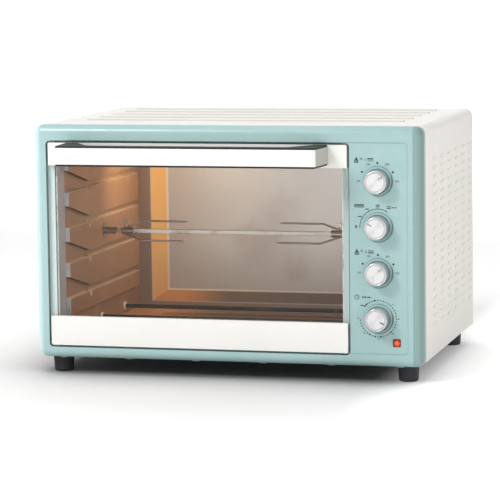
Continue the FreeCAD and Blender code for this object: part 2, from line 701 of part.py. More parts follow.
def cord_inlet():
    x = "side - 62"
    z = "case_bottom + 40"
    outer = fuse(rod("y", x, "back_plate + case_sheet", z, "cord_hole_radius + 3", "3", "cord_hole_radius + 2"),
                 rod("y", x, "back_plate - 4", z, "cord_hole_radius - 0.1", "5"),
                 rod("y", x, "back_plate - 5", z, "cord_hole_radius + 1.5", "4.9"))
    node(cut(outer, rod("y", x, "back_plate - 6", z, "3.6", "14")), "cord_grommet")

    block = box(f"{x} - block_width / 2", f"{x} + block_width / 2", "back_plate - 60", "back_plate - 44",
                "case_bottom + 3", "case_bottom + 21")
    wells = [rod("z", f"{x} - 16 + {i} * 8", "back_plate - 52", "case_bottom + 12", "2.4", "12") for i in range(5)]
    node(cut(block, *wells), "terminal_block")


# ---------------------------------------------------------------- cavity

def guide_outline(index, inset):
    """Side view (Y, Z) of one rack guide, index 0 being the lowest; inset draws it smaller all round."""
    upper = f"floor_z + channel_first + {index} * channel_pitch - channel_height / 2"
    front_y = f"front + pad_front + {inset}"
    rear_y = f"liner_back - guide_rear - {inset}"
    throat = f"front + throat - {inset}"
    outline = []
    if index == 0:
        low = f"{upper} - lowest_guide + {inset}"
        outline += [(front_y, low), (rear_y, low)]
    else:
        low = f"{upper} - (channel_pitch - channel_height) + {inset}"
        outline += [(front_y, f"{upper} - tab_height + {inset}"), (throat, low), (rear_y, low)]
    outline += [
        (rear_y, f"{upper} - {inset}"), (f"front + throat + notch_half + {inset}", f"{upper} - {inset}"),
        ("front + throat + 3", f"{upper} - notch_depth - {inset}"),
        ("front + throat - 1", f"{upper} - notch_depth - {inset}"),
        (f"front + throat - notch_half - {inset}", f"{upper} - {inset}"), (front_y, f"{upper} - {inset}"),
    ]
    return outline


def cavity_walls():
    sheet_out = "wall_x0 - liner_sheet"
    plate = box(sheet_out, "wall_x0", "liner_front + liner_sheet", "liner_back", "floor_z", "roof_z")
    guides = [prism("yz", sheet_out, "guide_x0", guide_outline(i, 0)) for i in range(5)]
    hollows = [prism("yz", f"{sheet_out} - 1", "guide_x0 - liner_sheet", guide_outline(i, "liner_sheet"))
               for i in range(5)]
    pressed = cut(fuse(plate, *guides), *hollows)
    holes = []
    for name, y, z in heater_places():
        holes.append(rod("x", f"{sheet_out} - 5", y, z, "bead_neck + 0.1", "10"))
    left = cut(pressed, *holes, rod("x", "guide_x0 - 3", "spit_y", "spit_z", "1.6", "6"))
    node(left, "cavity_left_wall")

    right = mirrored(cut(pressed, *holes), "middle_x")
    shaft = rod("x", "guide_x1 - 5", "spit_y", "spit_z", "socket_hole", "30")
    node(cut(right, shaft), "cavity_right_wall")


def cavity_shell():
    x0 = "wall_x0 - liner_sheet"
    x1 = "wall_x1 + liner_sheet"
    inner_front = "liner_front + liner_sheet"
    crumb = box("middle_x - 150", "middle_x + 150", "spit_y - 130", "spit_y + 130", "floor_z - 4", "floor_z - 0.2")
    dish = box("middle_x - 149", "middle_x + 149", "spit_y - 129", "spit_y + 129", "floor_z - 3.2", "floor_z + 1")
    floor = box(x0, x1, inner_front, "liner_back", "floor_z - liner_sheet", "floor_z")
    node(cut(fuse(floor, crumb), dish), "cavity_floor")
    node(box(x0, x1, inner_front, "liner_back", "roof_z", "roof_z + liner_sheet"), "cavity_roof")

    rx0 = "wall_x0 + recess_margin"
    rx1 = "wall_x1 - recess_margin"
    rz0 = "floor_z + recess_margin_z"
    rz1 = "roof_z - recess_margin_z"
    plate = box(f"{x0} - 6", f"{x1} + 6", "liner_back", "liner_back + liner_sheet", "floor_z - 5", "roof_z + 6")
    end = "liner_back + recess_depth"
    outside = bulge(f"{rx0} - 1", f"{rx1} + 1", f"{rz0} - 1", f"{rz1} + 1", "recess_slope", "recess_slope_z",
                    "liner_back + liner_sheet", f"{end} + liner_sheet")
    inside = bulge(rx0, rx1, rz0, rz1, "recess_slope", "recess_slope_z", "liner_back", end)
    node(cut(fuse(plate, outside), inside), "cavity_back")

    ring = box("mouth_x0 - part_gap", "mouth_x1 + part_gap", "liner_front", inner_front,
               "open_z0 + 1.5", "roof_z + 6")
    hole = box("wall_x0", "wall_x1", "liner_front - 1", "liner_front + 2", "floor_z", "roof_z")
    node(cut(ring, hole), "cavity_front_frame")

    shield = box("shield_x", "shield_x + case_sheet", "fascia_back + 2", "back_plate - 2",
                 "case_bottom + 12", "top - case_sheet - 2")
    hole = rod("x", "shield_x - 2", "spit_y", "spit_z", "motor_shaft + 2", "6")
    node(cut(shield, hole), "heat_shield")


def heater_places():
    """Name, depth and height of the six heating tubes."""
    places = []
    for level, z in (("lower", "floor_z + heater_lift"), ("upper", "roof_z - heater_lift")):
        for step, where in ((-1, "front"), (0, "middle"), (1, "rear")):
            places.append((f"{level}_heater_{where}", f"spit_y + {step} * heater_pitch", z))
    return places


def heaters():
    x0 = "wall_x0 - heater_tail"
    x1 = "wall_x1 + heater_tail"
    beads = []
    for name, y, z in heater_places():
        tube = rod("x", x0, y, z, "heater_radius", f"({x1}) - ({x0})")
        pins = [rod("x", f"{x0} - 5", y, z, "1.2", "7"), rod("x", f"{x1} - 2", y, z, "1.2", "7")]
        node(fuse(tube, *pins), name)
        ring = fuse(rod("x", "wall_x0", y, z, "bead_radius", "bead_flange", "bead_radius - 1"),
                    rod("x", "wall_x0 - liner_sheet - 3", y, z, "bead_neck", "liner_sheet + 3.1"))
        ring = cut(ring, rod("x", "wall_x0 - 8", y, z, "heater_radius", "16"))
        beads += [ring, mirrored(ring, "middle_x")]
    node(group(*beads), "heater_beads")


# ---------------------------------------------------------------- spit and drive

def spit_parts():
    tip = "guide_x0 + 1.5"
    body_start = "guide_x0 + cradle_reach + 1.5"
    end = "guide_x1 - socket_reach + socket_depth - 0.5"
    bar = box(body_start, end, "spit_y - spit_side / 2", "spit_y + spit_side / 2",
              "spit_z - spit_side / 2", "spit_z + spit_side / 2")
    bar = rounded(bar, "0.6", lambda edge: runs_along(edge, X_AXIS))
    journal = rod("x", tip, "spit_y", "spit_z", "spit_tip_radius", f"({body_start}) - ({tip}) + 1")
    node(fuse(bar, journal), "spit_rod")

    tube = rod("x", "guide_x0", "spit_y", "spit_z", "cradle_radius", "cradle_reach")
    flange = rod("x", "guide_x0", "spit_y", "spit_z", "flange_radius", "1.2")
    stud = rod("x", "guide_x0 - 3", "spit_y", "spit_z", "1.5", "3.5")
    bore = rod("x", "guide_x0 + 1.2", "spit_y", "spit_z", "spit_tip_radius + cradle_play", "cradle_reach")
    slot = box("guide_x0 + 1.2", "guide_x0 + cradle_reach + 1", "spit_y - spit_tip_radius - cradle_play",
               "spit_y + spit_tip_radius + cradle_play", "spit_z", "spit_z + cradle_radius + 1")
    node(cut(fuse(tube, flange, stud), bore, slot), "spit_cradle")

    fork("left", "guide_x0 + fork_left", 1)
    fork("right", "guide_x1 - fork_right", -1)

    socket = rod("x", "guide_x1 - socket_reach", "spit_y", "spit_z", "socket_radius", "socket_reach + pad_depth - 2")
    well = box("guide_x1 - socket_reach - 1", "guide_x1 - socket_reach + socket_depth",
               "spit_y - spit_side / 2 - part_gap", "spit_y + spit_side / 2 + part_gap",
               "spit_z - spit_side / 2 - part_gap", "spit_z + spit_side / 2 + part_gap")
    shaft = rod("x", "guide_x1 - socket_reach + socket_depth + 1", "spit_y", "spit_z", "motor_shaft",
                "shield_x + case_sheet + 12 - (guide_x1 - socket_reach + socket_depth + 1)")
    node(fuse(cut(socket, well), shaft), "drive_socket")

    start = "shield_x + case_sheet"
    can = rod("x", start, "spit_y", "spit_z", "motor_radius", "motor_length")
    can = rounded(can, "1.5", lambda edge: not runs_along(edge, X_AXIS) and far_right(edge, f"{start} + motor_length"))
    ears = box(start, f"{start} + 1.5", "spit_y - 6", "spit_y + 6", "spit_z - motor_radius - 10",
               "spit_z + motor_radius + 10")
    bore = rod("x", f"{start} - 1", "spit_y", "spit_z", "motor_shaft + pin_play", "14.5")
    node(cut(fuse(can, ears), bore), "spit_motor")


def far_right(edge, text):
    return all(abs(vertex.Point.x - number(text)) < 0.01 for vertex in edge.Vertexes)


def tube_along(points, radius):
    """A round bar through points, its bends filled by balls."""
    solid = None
    for start, end in zip(points, points[1:]):
        piece = Part.makeCylinder(radius, (end - start).Length, start, end - start)
        ball = Part.makeSphere(radius, end)
        piece = piece.fuse(ball)
        solid = piece if solid is None else solid.fuse(piece)
    return solid


def fork(side_name, x, way):
    """A fork on the spit: x is the hub's outer end, way points towards the middle."""
    hub_start = x if way > 0 else f"{x} - hub_length"
    hub = rod("x", hub_start, "spit_y", "spit_z", "hub_radius", "hub_length")
    half = "spit_side / 2 + fork_play"
    bore = box(f"{hub_start} - 1", f"{hub_start} + hub_length + 1", f"spit_y - ({half})", f"spit_y + {half}",
               f"spit_z - ({half})", f"spit_z + {half}")
    screw_x = f"{x} + {way} * 7"
    screw_hole = rod("z", screw_x, "spit_y", "spit_z", "wing_radius + pin_play", "hub_radius + 1")

    radius = number("tine_radius")
    spread = number("tine_spread")
    root = FreeCAD.Vector(number(x) + way * 2, number("spit_y"), number("spit_z"))
    tines = None
    outwards = FreeCAD.Rotation(X_AXIS, -number("tine_tilt")).multVec(Z_AXIS)
    for up in (1, -1):
        points = [
            root + outwards * up * (number("hub_radius") - 0.8),
            root + X_AXIS * way * number("tine_lead") + outwards * up * spread,
            root + X_AXIS * way * (number("tine_lead") + number("tine_length")) + outwards * up * spread,
        ]
        tine = tube_along(points, radius)
        spike = Part.makeCone(radius, 0.25, radius * 5, points[-1], FreeCAD.Vector(way, 0, 0))
        tine = tine.fuse(spike)
        tines = tine if tines is None else tines.fuse(tine)
    prongs = doc.addObject("Part::Feature", "tines")
    prongs.Shape = tines
    node(cut(fuse(hub, prongs), bore, screw_hole), f"{side_name}_fork")

    foot_z = "spit_z + spit_side / 2 + 0.15"
    stem = rod("z", screw_x, "spit_y", foot_z, "wing_radius", "hub_radius + 2")
    wing = box(f"{screw_x} - wing_width / 2", f"{screw_x} + wing_width / 2", "spit_y - 0.9", "spit_y + 0.9",
               "spit_z + hub_radius + 3", "spit_z + hub_radius + wing_height")
    wing = rounded(wing, "2.2", lambda edge: runs_along(edge, Y_AXIS))
    node(fuse(stem, wing), f"{side_name}_fork_screw")


# ---------------------------------------------------------------- door

def door_parts():
    glass = box("door_x0 + 1", "door_x1 - 1", "front + trim_sheet + glass_play",
                "front + trim_sheet + glass_play + glass_thickness",
                "door_z0 + bottom_trim - glass_grip", "door_z1 - top_trim + glass_grip")
    node(glass, "door_glass")

    low_z = "door_z0 + bottom_trim"
    shell = box("door_x0", "door_x1", "front", "door_back", "door_z0", low_z)
    shell = rounded(shell, "2", lambda edge: runs_along(edge, Y_AXIS) and near(edge, z="door_z0"))
    space = box("door_x0 + trim_sheet", "door_x1 - trim_sheet", "front + trim_sheet", "door_back - trim_sheet",
                "door_z0 + trim_sheet", f"{low_z} + 1")
    openings = [rod("x", "door_x0 - 1", "pin_y", "pin_z", "pin_radius", "4"),
                rod("x", "door_x1 - 3", "pin_y", "pin_z", "pin_radius", "4")]
    for x in arm_places():
        openings.append(box(f"{x} - 0.4", f"{x} + arm_sheet + 0.4", "front + 3", "door_back + 1",
                            "pin_z + arm_radius - arm_width / 2 - 3", "pin_z + arm_radius + arm_width / 2 + 1"))
    node(cut(shell, space, *openings), "door_bottom_trim")

    high_z = "door_z1 - top_trim"
    shell = box("door_x0", "door_x1", "front", "door_back", high_z, "door_z1")
    shell = rounded(shell, "2", lambda edge: runs_along(edge, Y_AXIS) and near(edge, z="door_z1"))
    space = box("door_x0 + trim_sheet", "door_x1 - trim_sheet", "front + trim_sheet", "door_back - trim_sheet",
                f"{high_z} - 1", "door_z1 - trim_sheet")
    holes = []
    for x in post_places():
        holes.append(rod("y", x, "front - 1", "handle_z", "handle_screw_radius + 0.1", "3"))
        holes.append(rod("y", x, "front + 3", "handle_z", "handle_screw_radius + 3", "8"))
    node(cut(shell, space, *holes), "door_top_trim")

    inside = "arm_inset + arm_sheet"
    reach = "door_gap_side + pin_reach - 0.5"
    left = fuse(rod("x", f"door_x0 - ({reach})", "pin_y", "pin_z", "pin_radius", f"{reach} + {inside}"),
                rod("x", "door_x0", "pin_y", "pin_z", "spigot_radius", f"{inside} + spigot_length"))
    right = fuse(rod("x", f"door_x1 - ({inside})", "pin_y", "pin_z", "pin_radius", f"{reach} + {inside}"),
                 rod("x", f"door_x1 - ({inside} + spigot_length)", "pin_y", "pin_z", "spigot_radius",
                     f"{inside} + spigot_length"))
    node(group(left, right), "door_hinge_pins")

    for name, x in zip(("left", "right"), arm_places()):
        node(hinge_arm(x), f"door_arm_{name}")
    door_springs()


def arm_places():
    """Left face of each hinge arm."""
    return ["door_x0 + arm_inset", "door_x1 - arm_inset - arm_sheet"]


def hinge_arm(x):
    """An arc about the hinge pin, with a root inside the trim and a stop block at its tail."""
    ring = cut(rod("x", x, "pin_y", "pin_z", "arm_radius + arm_width / 2", "arm_sheet"),
               rod("x", f"{x} - 1", "pin_y", "pin_z", "arm_radius - arm_width / 2", "arm_sheet + 2"))
    strip = sector(ring, x, -28, 90)
    block = sector(cut(rod("x", x, "pin_y", "pin_z", "arm_radius", "arm_sheet"),
                       rod("x", f"{x} - 1", "pin_y", "pin_z", "arm_radius - arm_width / 2 - 4", "arm_sheet + 2")),
                   x, -28, -21)
    root = box(x, f"{x} + arm_sheet", "front + trim_sheet", "door_back - trim_sheet", "door_z0 + trim_sheet",
               "pin_z + arm_radius + arm_width / 2 - 2")
    return cut(fuse(strip, root, block), rod("x", f"{x} - 1", "pin_y", "pin_z", "pin_radius", "arm_sheet + 2"))


def sector(ring, x, start, end):
    """The part of a ring about the hinge line between two angles, counted upwards from straight back."""
    far = 60
    middle = (start + end) / 2
    corners = [(f"pin_y + {far} * cos({angle})", f"pin_z + {far} * sin({angle})") for angle in (start, middle, end)]
    wedge = prism("yz", f"{x} - 1", f"{x} + arm_sheet + 1", [("pin_y", "pin_z")] + corners)
    kept = doc.addObject("Part::Common", "sector")
    kept.Base = ring
    kept.Tool = wedge
    return kept


def door_springs():
    """A torsion spring round each hinge pin's thin end, inside the lower trim, with one short leg upwards."""
    wire = number("spring_wire") / 2
    turns = number("spring_coils")
    mean = number("door_thickness") / 2 - number("trim_sheet") - wire - number("spring_play")
    pitch = number("spring_wire") * 1.15
    start = number("door_x0 + arm_inset + arm_sheet + 1.1") + wire
    centre = FreeCAD.Vector(start, number("pin_y"), number("pin_z"))
    coils = None
    for turn in range(int(turns)):
        ring = Part.makeTorus(mean, wire, centre + X_AXIS * turn * pitch, X_AXIS)
        coils = ring if coils is None else coils.fuse(ring)
    spine = Part.makeCylinder(wire * 0.9, pitch * (turns - 1), centre + Y_AXIS * mean, X_AXIS)
    leg = Part.makeCylinder(wire, number("spring_leg"), centre + X_AXIS * pitch * (turns - 1) + Y_AXIS * mean, Z_AXIS)
    left = doc.addObject("Part::Feature", "spring")
    left.Shape = coils.fuse(spine).fuse(leg)
    right = mirrored(left, "(door_x0 + door_x1) / 2")
    node(left, "door_spring_left")
    node(right, "door_spring_right")


def post_places():
    """Middle of each handle post at the door."""
    return ["handle_x0 - post_splay + post_width / 2", "handle_x1 + post_splay - post_width / 2"]


def handle_parts():
    low = "handle_z - handle_height / 2"
    high = "handle_z + handle_height / 2"
    face = "handle_front + cover_sheet"
    core = prism("xy", f"{low} - handle_lip", f"{high} + handle_lip", [
        ("handle_x0 + cover_sheet", face), ("handle_x1 - cover_sheet", face),
        ("handle_x1 + post_splay - cover_sheet", "front - 0.1"), ("handle_x1 + post_splay - post_width", "front - 0.1"),
        ("handle_x1 - post_root", "bar_back"), ("handle_x0 + post_root", "bar_back"),
        ("handle_x0 - post_splay + post_width", "front - 0.1"), ("handle_x0 - post_splay + cover_sheet", "front - 0.1"),
    ])
    core = rounded(core, "14", lambda edge: runs_along(edge, Z_AXIS) and near(edge, y="bar_back"))
    core = rounded(core, "2.4", lambda edge: runs_along(edge, Z_AXIS) and near(edge, y=face))
    rims = rounded(core, "1.2", lambda edge: on_rim(edge, f"{low} - handle_lip", f"{high} + handle_lip"))
    holes = [rod("y", x, "front - handle_screw_reach - 1", "handle_z", "handle_screw_radius",
                 "handle_screw_reach + 2") for x in post_places()]
    node(cut(rims, *holes), "handle_core")

    outer = prism("xy", low, high, [
        ("handle_x0", "handle_front"), ("handle_x1", "handle_front"),
        ("handle_x1 + post_splay", "front - 0.1"), ("handle_x0 - post_splay", "front - 0.1")])
    outer = rounded(outer, "3.2", lambda edge: runs_along(edge, Z_AXIS) and near(edge, y="handle_front"))
    inner = prism("xy", f"{low} - 1", f"{high} + 1", [
        ("handle_x0 + cover_sheet", face), ("handle_x1 - cover_sheet", face),
        ("handle_x1 + post_splay - cover_sheet", "front - 0.1"), ("handle_x1 + post_splay - cover_sheet", "front + 1"),
        ("handle_x0 - post_splay + cover_sheet", "front + 1"), ("handle_x0 - post_splay + cover_sheet", "front - 0.1")])
    inner = rounded(inner, "2.4", lambda edge: runs_along(edge, Z_AXIS) and near(edge, y=face))
    node(cut(outer, inner), "handle_cover")

    screws = []
    for x in post_places():
        head = rod("y", x, "front + trim_sheet", "handle_z", "handle_screw_radius * 1.8", "2",
                   "handle_screw_radius * 1.5")
        shank = rod("y", x, "front - handle_screw_reach", "handle_z", "handle_screw_radius",
                    "handle_screw_reach + trim_sheet + 0.1")
        screws.append(fuse(head, shank))
    node(group(*screws), "handle_screws")


def on_rim(edge, *heights):
    """Whether an edge lies in one of the given level planes."""
    for text in heights:
        if all(abs(vertex.Point.z - number(text)) < 0.01 for vertex in edge.Vertexes):
            return not runs_along(edge, Z_AXIS)
    return False


# ---------------------------------------------------------------- controls

CONTROLS = {
    "upper_heat": ("upper_thermostat", "thermostat_width", "thermostat_height", "thermostat_depth", 51),
    "function": ("function_switch", "switch_side", "switch_side", "switch_depth", -58),
    "lower_heat": ("lower_thermostat", "thermostat_width", "thermostat_height", "thermostat_depth", 47),
    "timer": ("timer", "timer_side", "timer_side", "timer_depth", 113),
}


def controls():
    for name, z in knob_places():
        body_name, wide, tall, deep, pointer = CONTROLS[name]
        knob(name, z)
        cap(name, z, pointer)
        shaft(name, z)
        start = "panel_back + part_gap"
        case = box(f"knob_x - {wide} / 2", f"knob_x + {wide} / 2", start, f"{start} + {deep}",
                   f"{z} - {tall} / 2", f"{z} + {tall} / 2")
        case = rounded(case, "2", lambda edge: runs_along(edge, Y_AXIS))
        bush = rod("y", "knob_x", "panel_front", z, "bush_radius", "fascia_wall + part_gap + 1")
        bore = rod("y", "knob_x", "front - 1", z, "shaft_radius + pin_play",
                   "panel_step + 1 + fascia_wall + part_gap + shaft_in_control + 0.5")
        node(cut(fuse(case, bush), bore), body_name)


def knob(name, z):
    """A tapered knob with a flared skirt and a shallow face for its disc."""
    face_radius = "knob_radius - knob_taper"
    body = revolved(f"{name}_turned", [
        ("0", "0"), ("knob_radius - 1", "0"), ("knob_radius", "-1"), ("knob_radius", "-3"),
        ("knob_radius - 0.7", "-4"), (f"{face_radius} + 0.4", "1.2 - knob_length"),
        (f"{face_radius} - 0.6", "-(knob_length)"), ("cap_radius + 0.1", "-(knob_length)"),
        ("cap_radius + 0.1", "cap_depth - knob_length"), ("0", "cap_depth - knob_length")],
        "knob_x", "knob_base", z)
    hole = rod("y", "knob_x", "knob_base - shaft_in_knob - 0.2", z, "shaft_radius", "shaft_in_knob + 1")
    node(cut(body, hole), f"{name}_knob")


def cap(name, z, pointer):
    """The disc in a knob's face, with a pointer groove turned to its setting."""
    disc = rod("y", "knob_x", "knob_face + 0.1", z, "cap_radius", "cap_depth - 0.1")
    groove = box("-(pointer_width) / 2", "pointer_width / 2", "-1", "0.5", "cap_radius - pointer_length",
                 "cap_radius - 0.8")
    groove = rounded(groove, "0.8", lambda edge: runs_along(edge, Y_AXIS))
    turned = doc.addObject("Part::Compound", "groove_turned")
    turned.Links = [groove]
    turned.Placement = FreeCAD.Placement(FreeCAD.Vector(), FreeCAD.Rotation(Y_AXIS, pointer))
    move_to(turned, "knob_x", "knob_face + 0.1", z)
    node(cut(disc, turned), f"{name}_cap")


def shaft(name, z):
    """The control's shaft, with a flat where the knob grips it."""
    start = "knob_base - shaft_in_knob"
    length = "shaft_in_knob + knob_gap + fascia_wall + part_gap + shaft_in_control"
    round_bar = rod("y", "knob_x", start, z, "shaft_radius", length)
    flat = box("knob_x - shaft_radius", "knob_x + shaft_radius", f"{start} - 1", f"{start} + 9",
               f"{z} + shaft_radius - 1", f"{z} + shaft_radius + 1")
    node(cut(round_bar, flat), f"{name}_shaft")


def indicator():
    half = "lamp_side / 2"
    lens = box(f"lamp_x - {half}", f"lamp_x + {half}", "panel_front - 1", "panel_front + fascia_wall",
               f"lamp_z - {half}", f"lamp_z + {half}")
    lens = rounded(lens, "2", lambda edge: runs_along(edge, Y_AXIS))
    lens = rounded(lens, "0.6", lambda edge: all(
        abs(vertex.Point.y - number("panel_front - 1")) < 0.01 for vertex in edge.Vertexes))
    node(lens, "indicator_lens")
    holder = box(f"lamp_x - {half} - 1.5", f"lamp_x + {half} + 1.5", "panel_back + part_gap",
                 "panel_back + lamp_depth", f"lamp_z - {half} - 1.5", f"lamp_z + {half} + 1.5")
    node(rounded(holder, "1.5", lambda edge: runs_along(edge, Y_AXIS)), "indicator_lamp")


# ---------------------------------------------------------------- build, check and write

front_fascia()
outer_case()
base_pan()
back_panel()
fixed_fasteners()
cord_inlet()
cavity_walls()
cavity_shell()
heaters()
spit_parts()
door_parts()
handle_parts()
controls()
indicator()
doc.recompute()

for thing in doc.Objects:
    if "Invalid" in thing.State or "Error" in thing.State:
        raise RuntimeError(f"{thing.Label} failed: {thing.State}")
for thing in NODES:
    if thing.Shape.isNull() or not thing.Shape.isValid() or not thing.Shape.Solids:
        raise RuntimeError(f"{thing.Label} has a bad shape")
for thing in NODES:
    thing.Shape.exportStep(f"parts/{thing.Label}.step")
print(f"{len(NODES)} sub-parts written")
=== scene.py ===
import math

import bmesh
import bpy
from mathutils import Matrix, Vector


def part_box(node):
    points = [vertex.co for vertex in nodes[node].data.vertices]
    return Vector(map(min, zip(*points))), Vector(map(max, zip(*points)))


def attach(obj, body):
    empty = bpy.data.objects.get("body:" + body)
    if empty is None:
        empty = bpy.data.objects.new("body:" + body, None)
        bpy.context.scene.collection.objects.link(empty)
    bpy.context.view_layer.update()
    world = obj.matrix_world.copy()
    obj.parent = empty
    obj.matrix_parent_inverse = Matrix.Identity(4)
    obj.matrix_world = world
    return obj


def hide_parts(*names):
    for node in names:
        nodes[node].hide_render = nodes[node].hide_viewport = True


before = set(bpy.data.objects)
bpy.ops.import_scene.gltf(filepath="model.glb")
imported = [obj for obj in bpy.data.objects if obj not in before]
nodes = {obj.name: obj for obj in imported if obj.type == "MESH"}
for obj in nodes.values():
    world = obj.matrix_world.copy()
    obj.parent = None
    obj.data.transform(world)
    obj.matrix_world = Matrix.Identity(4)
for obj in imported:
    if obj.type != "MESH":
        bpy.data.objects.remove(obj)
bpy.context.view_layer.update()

MM = 0.001
X, Y, Z = 0, 1, 2


def middle(name):
    """The middle of a CAD node's box, seen from the front."""
    low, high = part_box(name)
    return (low.x + high.x) / 2, (low.z + high.z) / 2


# Pointer of each control, in degrees clockwise from the top.
CONTROLS = {"upper_heat": 51, "function": -58, "lower_heat": 47, "timer": 113}
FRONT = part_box("door_top_trim")[0].y
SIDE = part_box("front_fascia")[1].x
KNOB_GAP = 0.6 * MM
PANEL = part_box("timer_knob")[1].y + KNOB_GAP
KNOB_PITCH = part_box("function_cap")[0].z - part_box("lower_heat_cap")[0].z
KNOB_X, TIMER_Z = middle("timer_cap")
KNOBS_LOW = TIMER_Z - KNOB_PITCH / 2
KNOBS_HIGH = KNOBS_LOW + len(CONTROLS) * KNOB_PITCH

# The door's opening, from the door that fills it and the gaps round it.
GLASS_INSET = 4.3 * MM
GAP_BELOW = 3 * MM
GAP_ABOVE = 2.8 * MM
OPENING_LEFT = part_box("door_glass")[0].x - GLASS_INSET
OPENING_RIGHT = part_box("door_glass")[1].x + GLASS_INSET
OPENING_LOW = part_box("door_bottom_trim")[0].z - GAP_BELOW
OPENING_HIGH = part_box("door_top_trim")[1].z + GAP_ABOVE

# Stretches that draw a grain out along one axis.
ALONG_X = (4, 600, 600)
ALONG_Y = (600, 4, 600)


# ------------------------------------------------------------------ materials

def srgb(r, g, b):
    """Linear colour from 0 to 255 values."""
    def linear(v):
        v /= 255
        return v / 12.92 if v <= 0.04045 else ((v + 0.055) / 1.055) ** 2.4
    return (linear(r), linear(g), linear(b), 1)


class Look:
    """A procedural material, built in layers."""

    def __init__(self, name, colour, roughness, metallic=0.0):
        self.material = bpy.data.materials.new(name)
        self.material.use_nodes = True
        self.tree = self.material.node_tree
        self.bsdf = self.tree.nodes["Principled BSDF"]
        self.bsdf.inputs["Metallic"].default_value = metallic
        self.bsdf.inputs["Roughness"].default_value = roughness
        self.bsdf.inputs["Base Color"].default_value = colour
        self.colour = self.constant(colour)
        self.normal = None
        self.place = self.tree.nodes.new("ShaderNodeTexCoord").outputs["Object"]

    def add(self, kind, **values):
        made = self.tree.nodes.new(kind)
        for key, value in values.items():
            setattr(made, key, value)
        return made

    def join(self, source, target):
        self.tree.links.new(source, target)

    def constant(self, colour):
        made = self.add("ShaderNodeRGB")
        made.outputs[0].default_value = colour
        return made.outputs[0]

    def grain(self, scale, stretch=(1, 1, 1), detail=4):
        """Noise, stretched along axes: a low stretch value draws it out."""
        mapping = self.add("ShaderNodeMapping")
        mapping.inputs["Scale"].default_value = stretch
        self.join(self.place, mapping.inputs["Vector"])
        noise = self.add("ShaderNodeTexNoise")
        noise.inputs["Scale"].default_value = scale
        noise.inputs["Detail"].default_value = detail
        noise.inputs["Roughness"].default_value = 0.55
        self.join(mapping.outputs[0], noise.inputs["Vector"])
        return noise.outputs["Fac"]

    def curve(self, value, low, high, to_low=0.0, to_high=1.0, smooth=False):
        """Follow a value from low to high, and hold beyond them."""
        made = self.add("ShaderNodeMapRange")
        if smooth:
            made.interpolation_type = "SMOOTHSTEP"
        limits = {"From Min": low, "From Max": high, "To Min": to_low, "To Max": to_high}
        for name, number in limits.items():
            made.inputs[name].default_value = number
        self.join(value, made.inputs["Value"])
        return made.outputs[0]

    def math(self, kind, a, b=0):
        made = self.add("ShaderNodeMath", operation=kind)
        for socket, value in zip(made.inputs, (a, b)):
            if isinstance(value, (int, float)):
                socket.default_value = value
            else:
                self.join(value, socket)
        return made.outputs[0]

    def both(self, *values):
        """The product of several masks."""
        product = values[0]
        for value in values[1:]:
            product = self.math("MULTIPLY", product, value)
        return product

    def distance(self, a, b):
        """The length of a flat vector from its two components."""
        squares = self.math("ADD", self.math("MULTIPLY", a, a), self.math("MULTIPLY", b, b))
        return self.math("SQRT", squares)

    def coordinate(self, axis):
        made = self.add("ShaderNodeSeparateXYZ")
        self.join(self.place, made.inputs[0])
        return made.outputs[axis]

    def facing(self, axis, round_mm=0):
        """How far the surface faces along an axis, -1 to 1, with its edges rounded or not."""
        made = self.add("ShaderNodeSeparateXYZ")
        if round_mm:
            source = self.add("ShaderNodeBevel", samples=6)
            source.inputs["Radius"].default_value = round_mm * MM
        else:
            source = self.add("ShaderNodeNewGeometry")
        self.join(source.outputs["Normal"], made.inputs[0])
        return made.outputs[axis]

    def band(self, value, start, full, fade, end):
        """One from full to fade, none before start and after end."""
        return self.both(self.curve(value, start, full), self.curve(value, end, fade))

    def within(self, axis, low, high, edge=0.2 * MM):
        """One between two places along an axis, none outside them."""
        return self.band(self.coordinate(axis), low - edge, low, high, high + edge)

    def tint(self, colour, amount):
        """Lay a colour over what there is."""
        mix = self.add("ShaderNodeMix", data_type="RGBA")
        sockets = {s.identifier: s for s in mix.inputs}
        self.join(amount, sockets["Factor_Float"])
        self.join(self.colour, sockets["A_Color"])
        sockets["B_Color"].default_value = colour
        self.colour = [s for s in mix.outputs if s.identifier == "Result_Color"][0]
        return self

    def mottle(self, colour, scale, low, high, strength, **grain):
        """Lay a colour over in patches, where a grain rises from low to high."""
        patches = self.curve(self.grain(scale, **grain), low, high, 0, strength, smooth=True)
        return self.tint(colour, patches)

    def crevice_shade(self, colour, reach_mm, strength, start=0.95, end=0.35):
        """Painted shade: darken hollows and inner corners, where ambient occlusion finds them."""
        made = self.add("ShaderNodeAmbientOcclusion", samples=6)
        made.inputs["Distance"].default_value = reach_mm * MM
        return self.tint(colour, self.curve(made.outputs["AO"], start, end, 0, strength))

    def sheen(self, value, low, high, rough_low, rough_high):
        """Vary the roughness with a value."""
        rough = self.curve(value, low, high, rough_low, rough_high)
        self.join(rough, self.bsdf.inputs["Roughness"])
        return self

    def shape_normal(self, made):
        if self.normal is not None:
            self.join(self.normal, made.inputs["Normal"])
        self.normal = made.outputs[0]
        return self

    def bump(self, height, depth_mm, strength):
        made = self.add("ShaderNodeBump")
        made.inputs["Distance"].default_value = depth_mm * MM
        made.inputs["Strength"].default_value = strength
        self.join(height, made.inputs["Height"])
        return self.shape_normal(made)

    def soften(self, radius_mm):
        """Round sharp edges in shading."""
        made = self.add("ShaderNodeBevel", samples=4)
        made.inputs["Radius"].default_value = radius_mm * MM
        return self.shape_normal(made)

    def set(self, **values):
        for name, value in values.items():
            self.bsdf.inputs[name.replace("_", " ")].default_value = value
        return self

    def done(self):
        self.join(self.colour, self.bsdf.inputs["Base Color"])
        if self.normal is not None:
            self.join(self.normal, self.bsdf.inputs["Normal"])
        return self.material


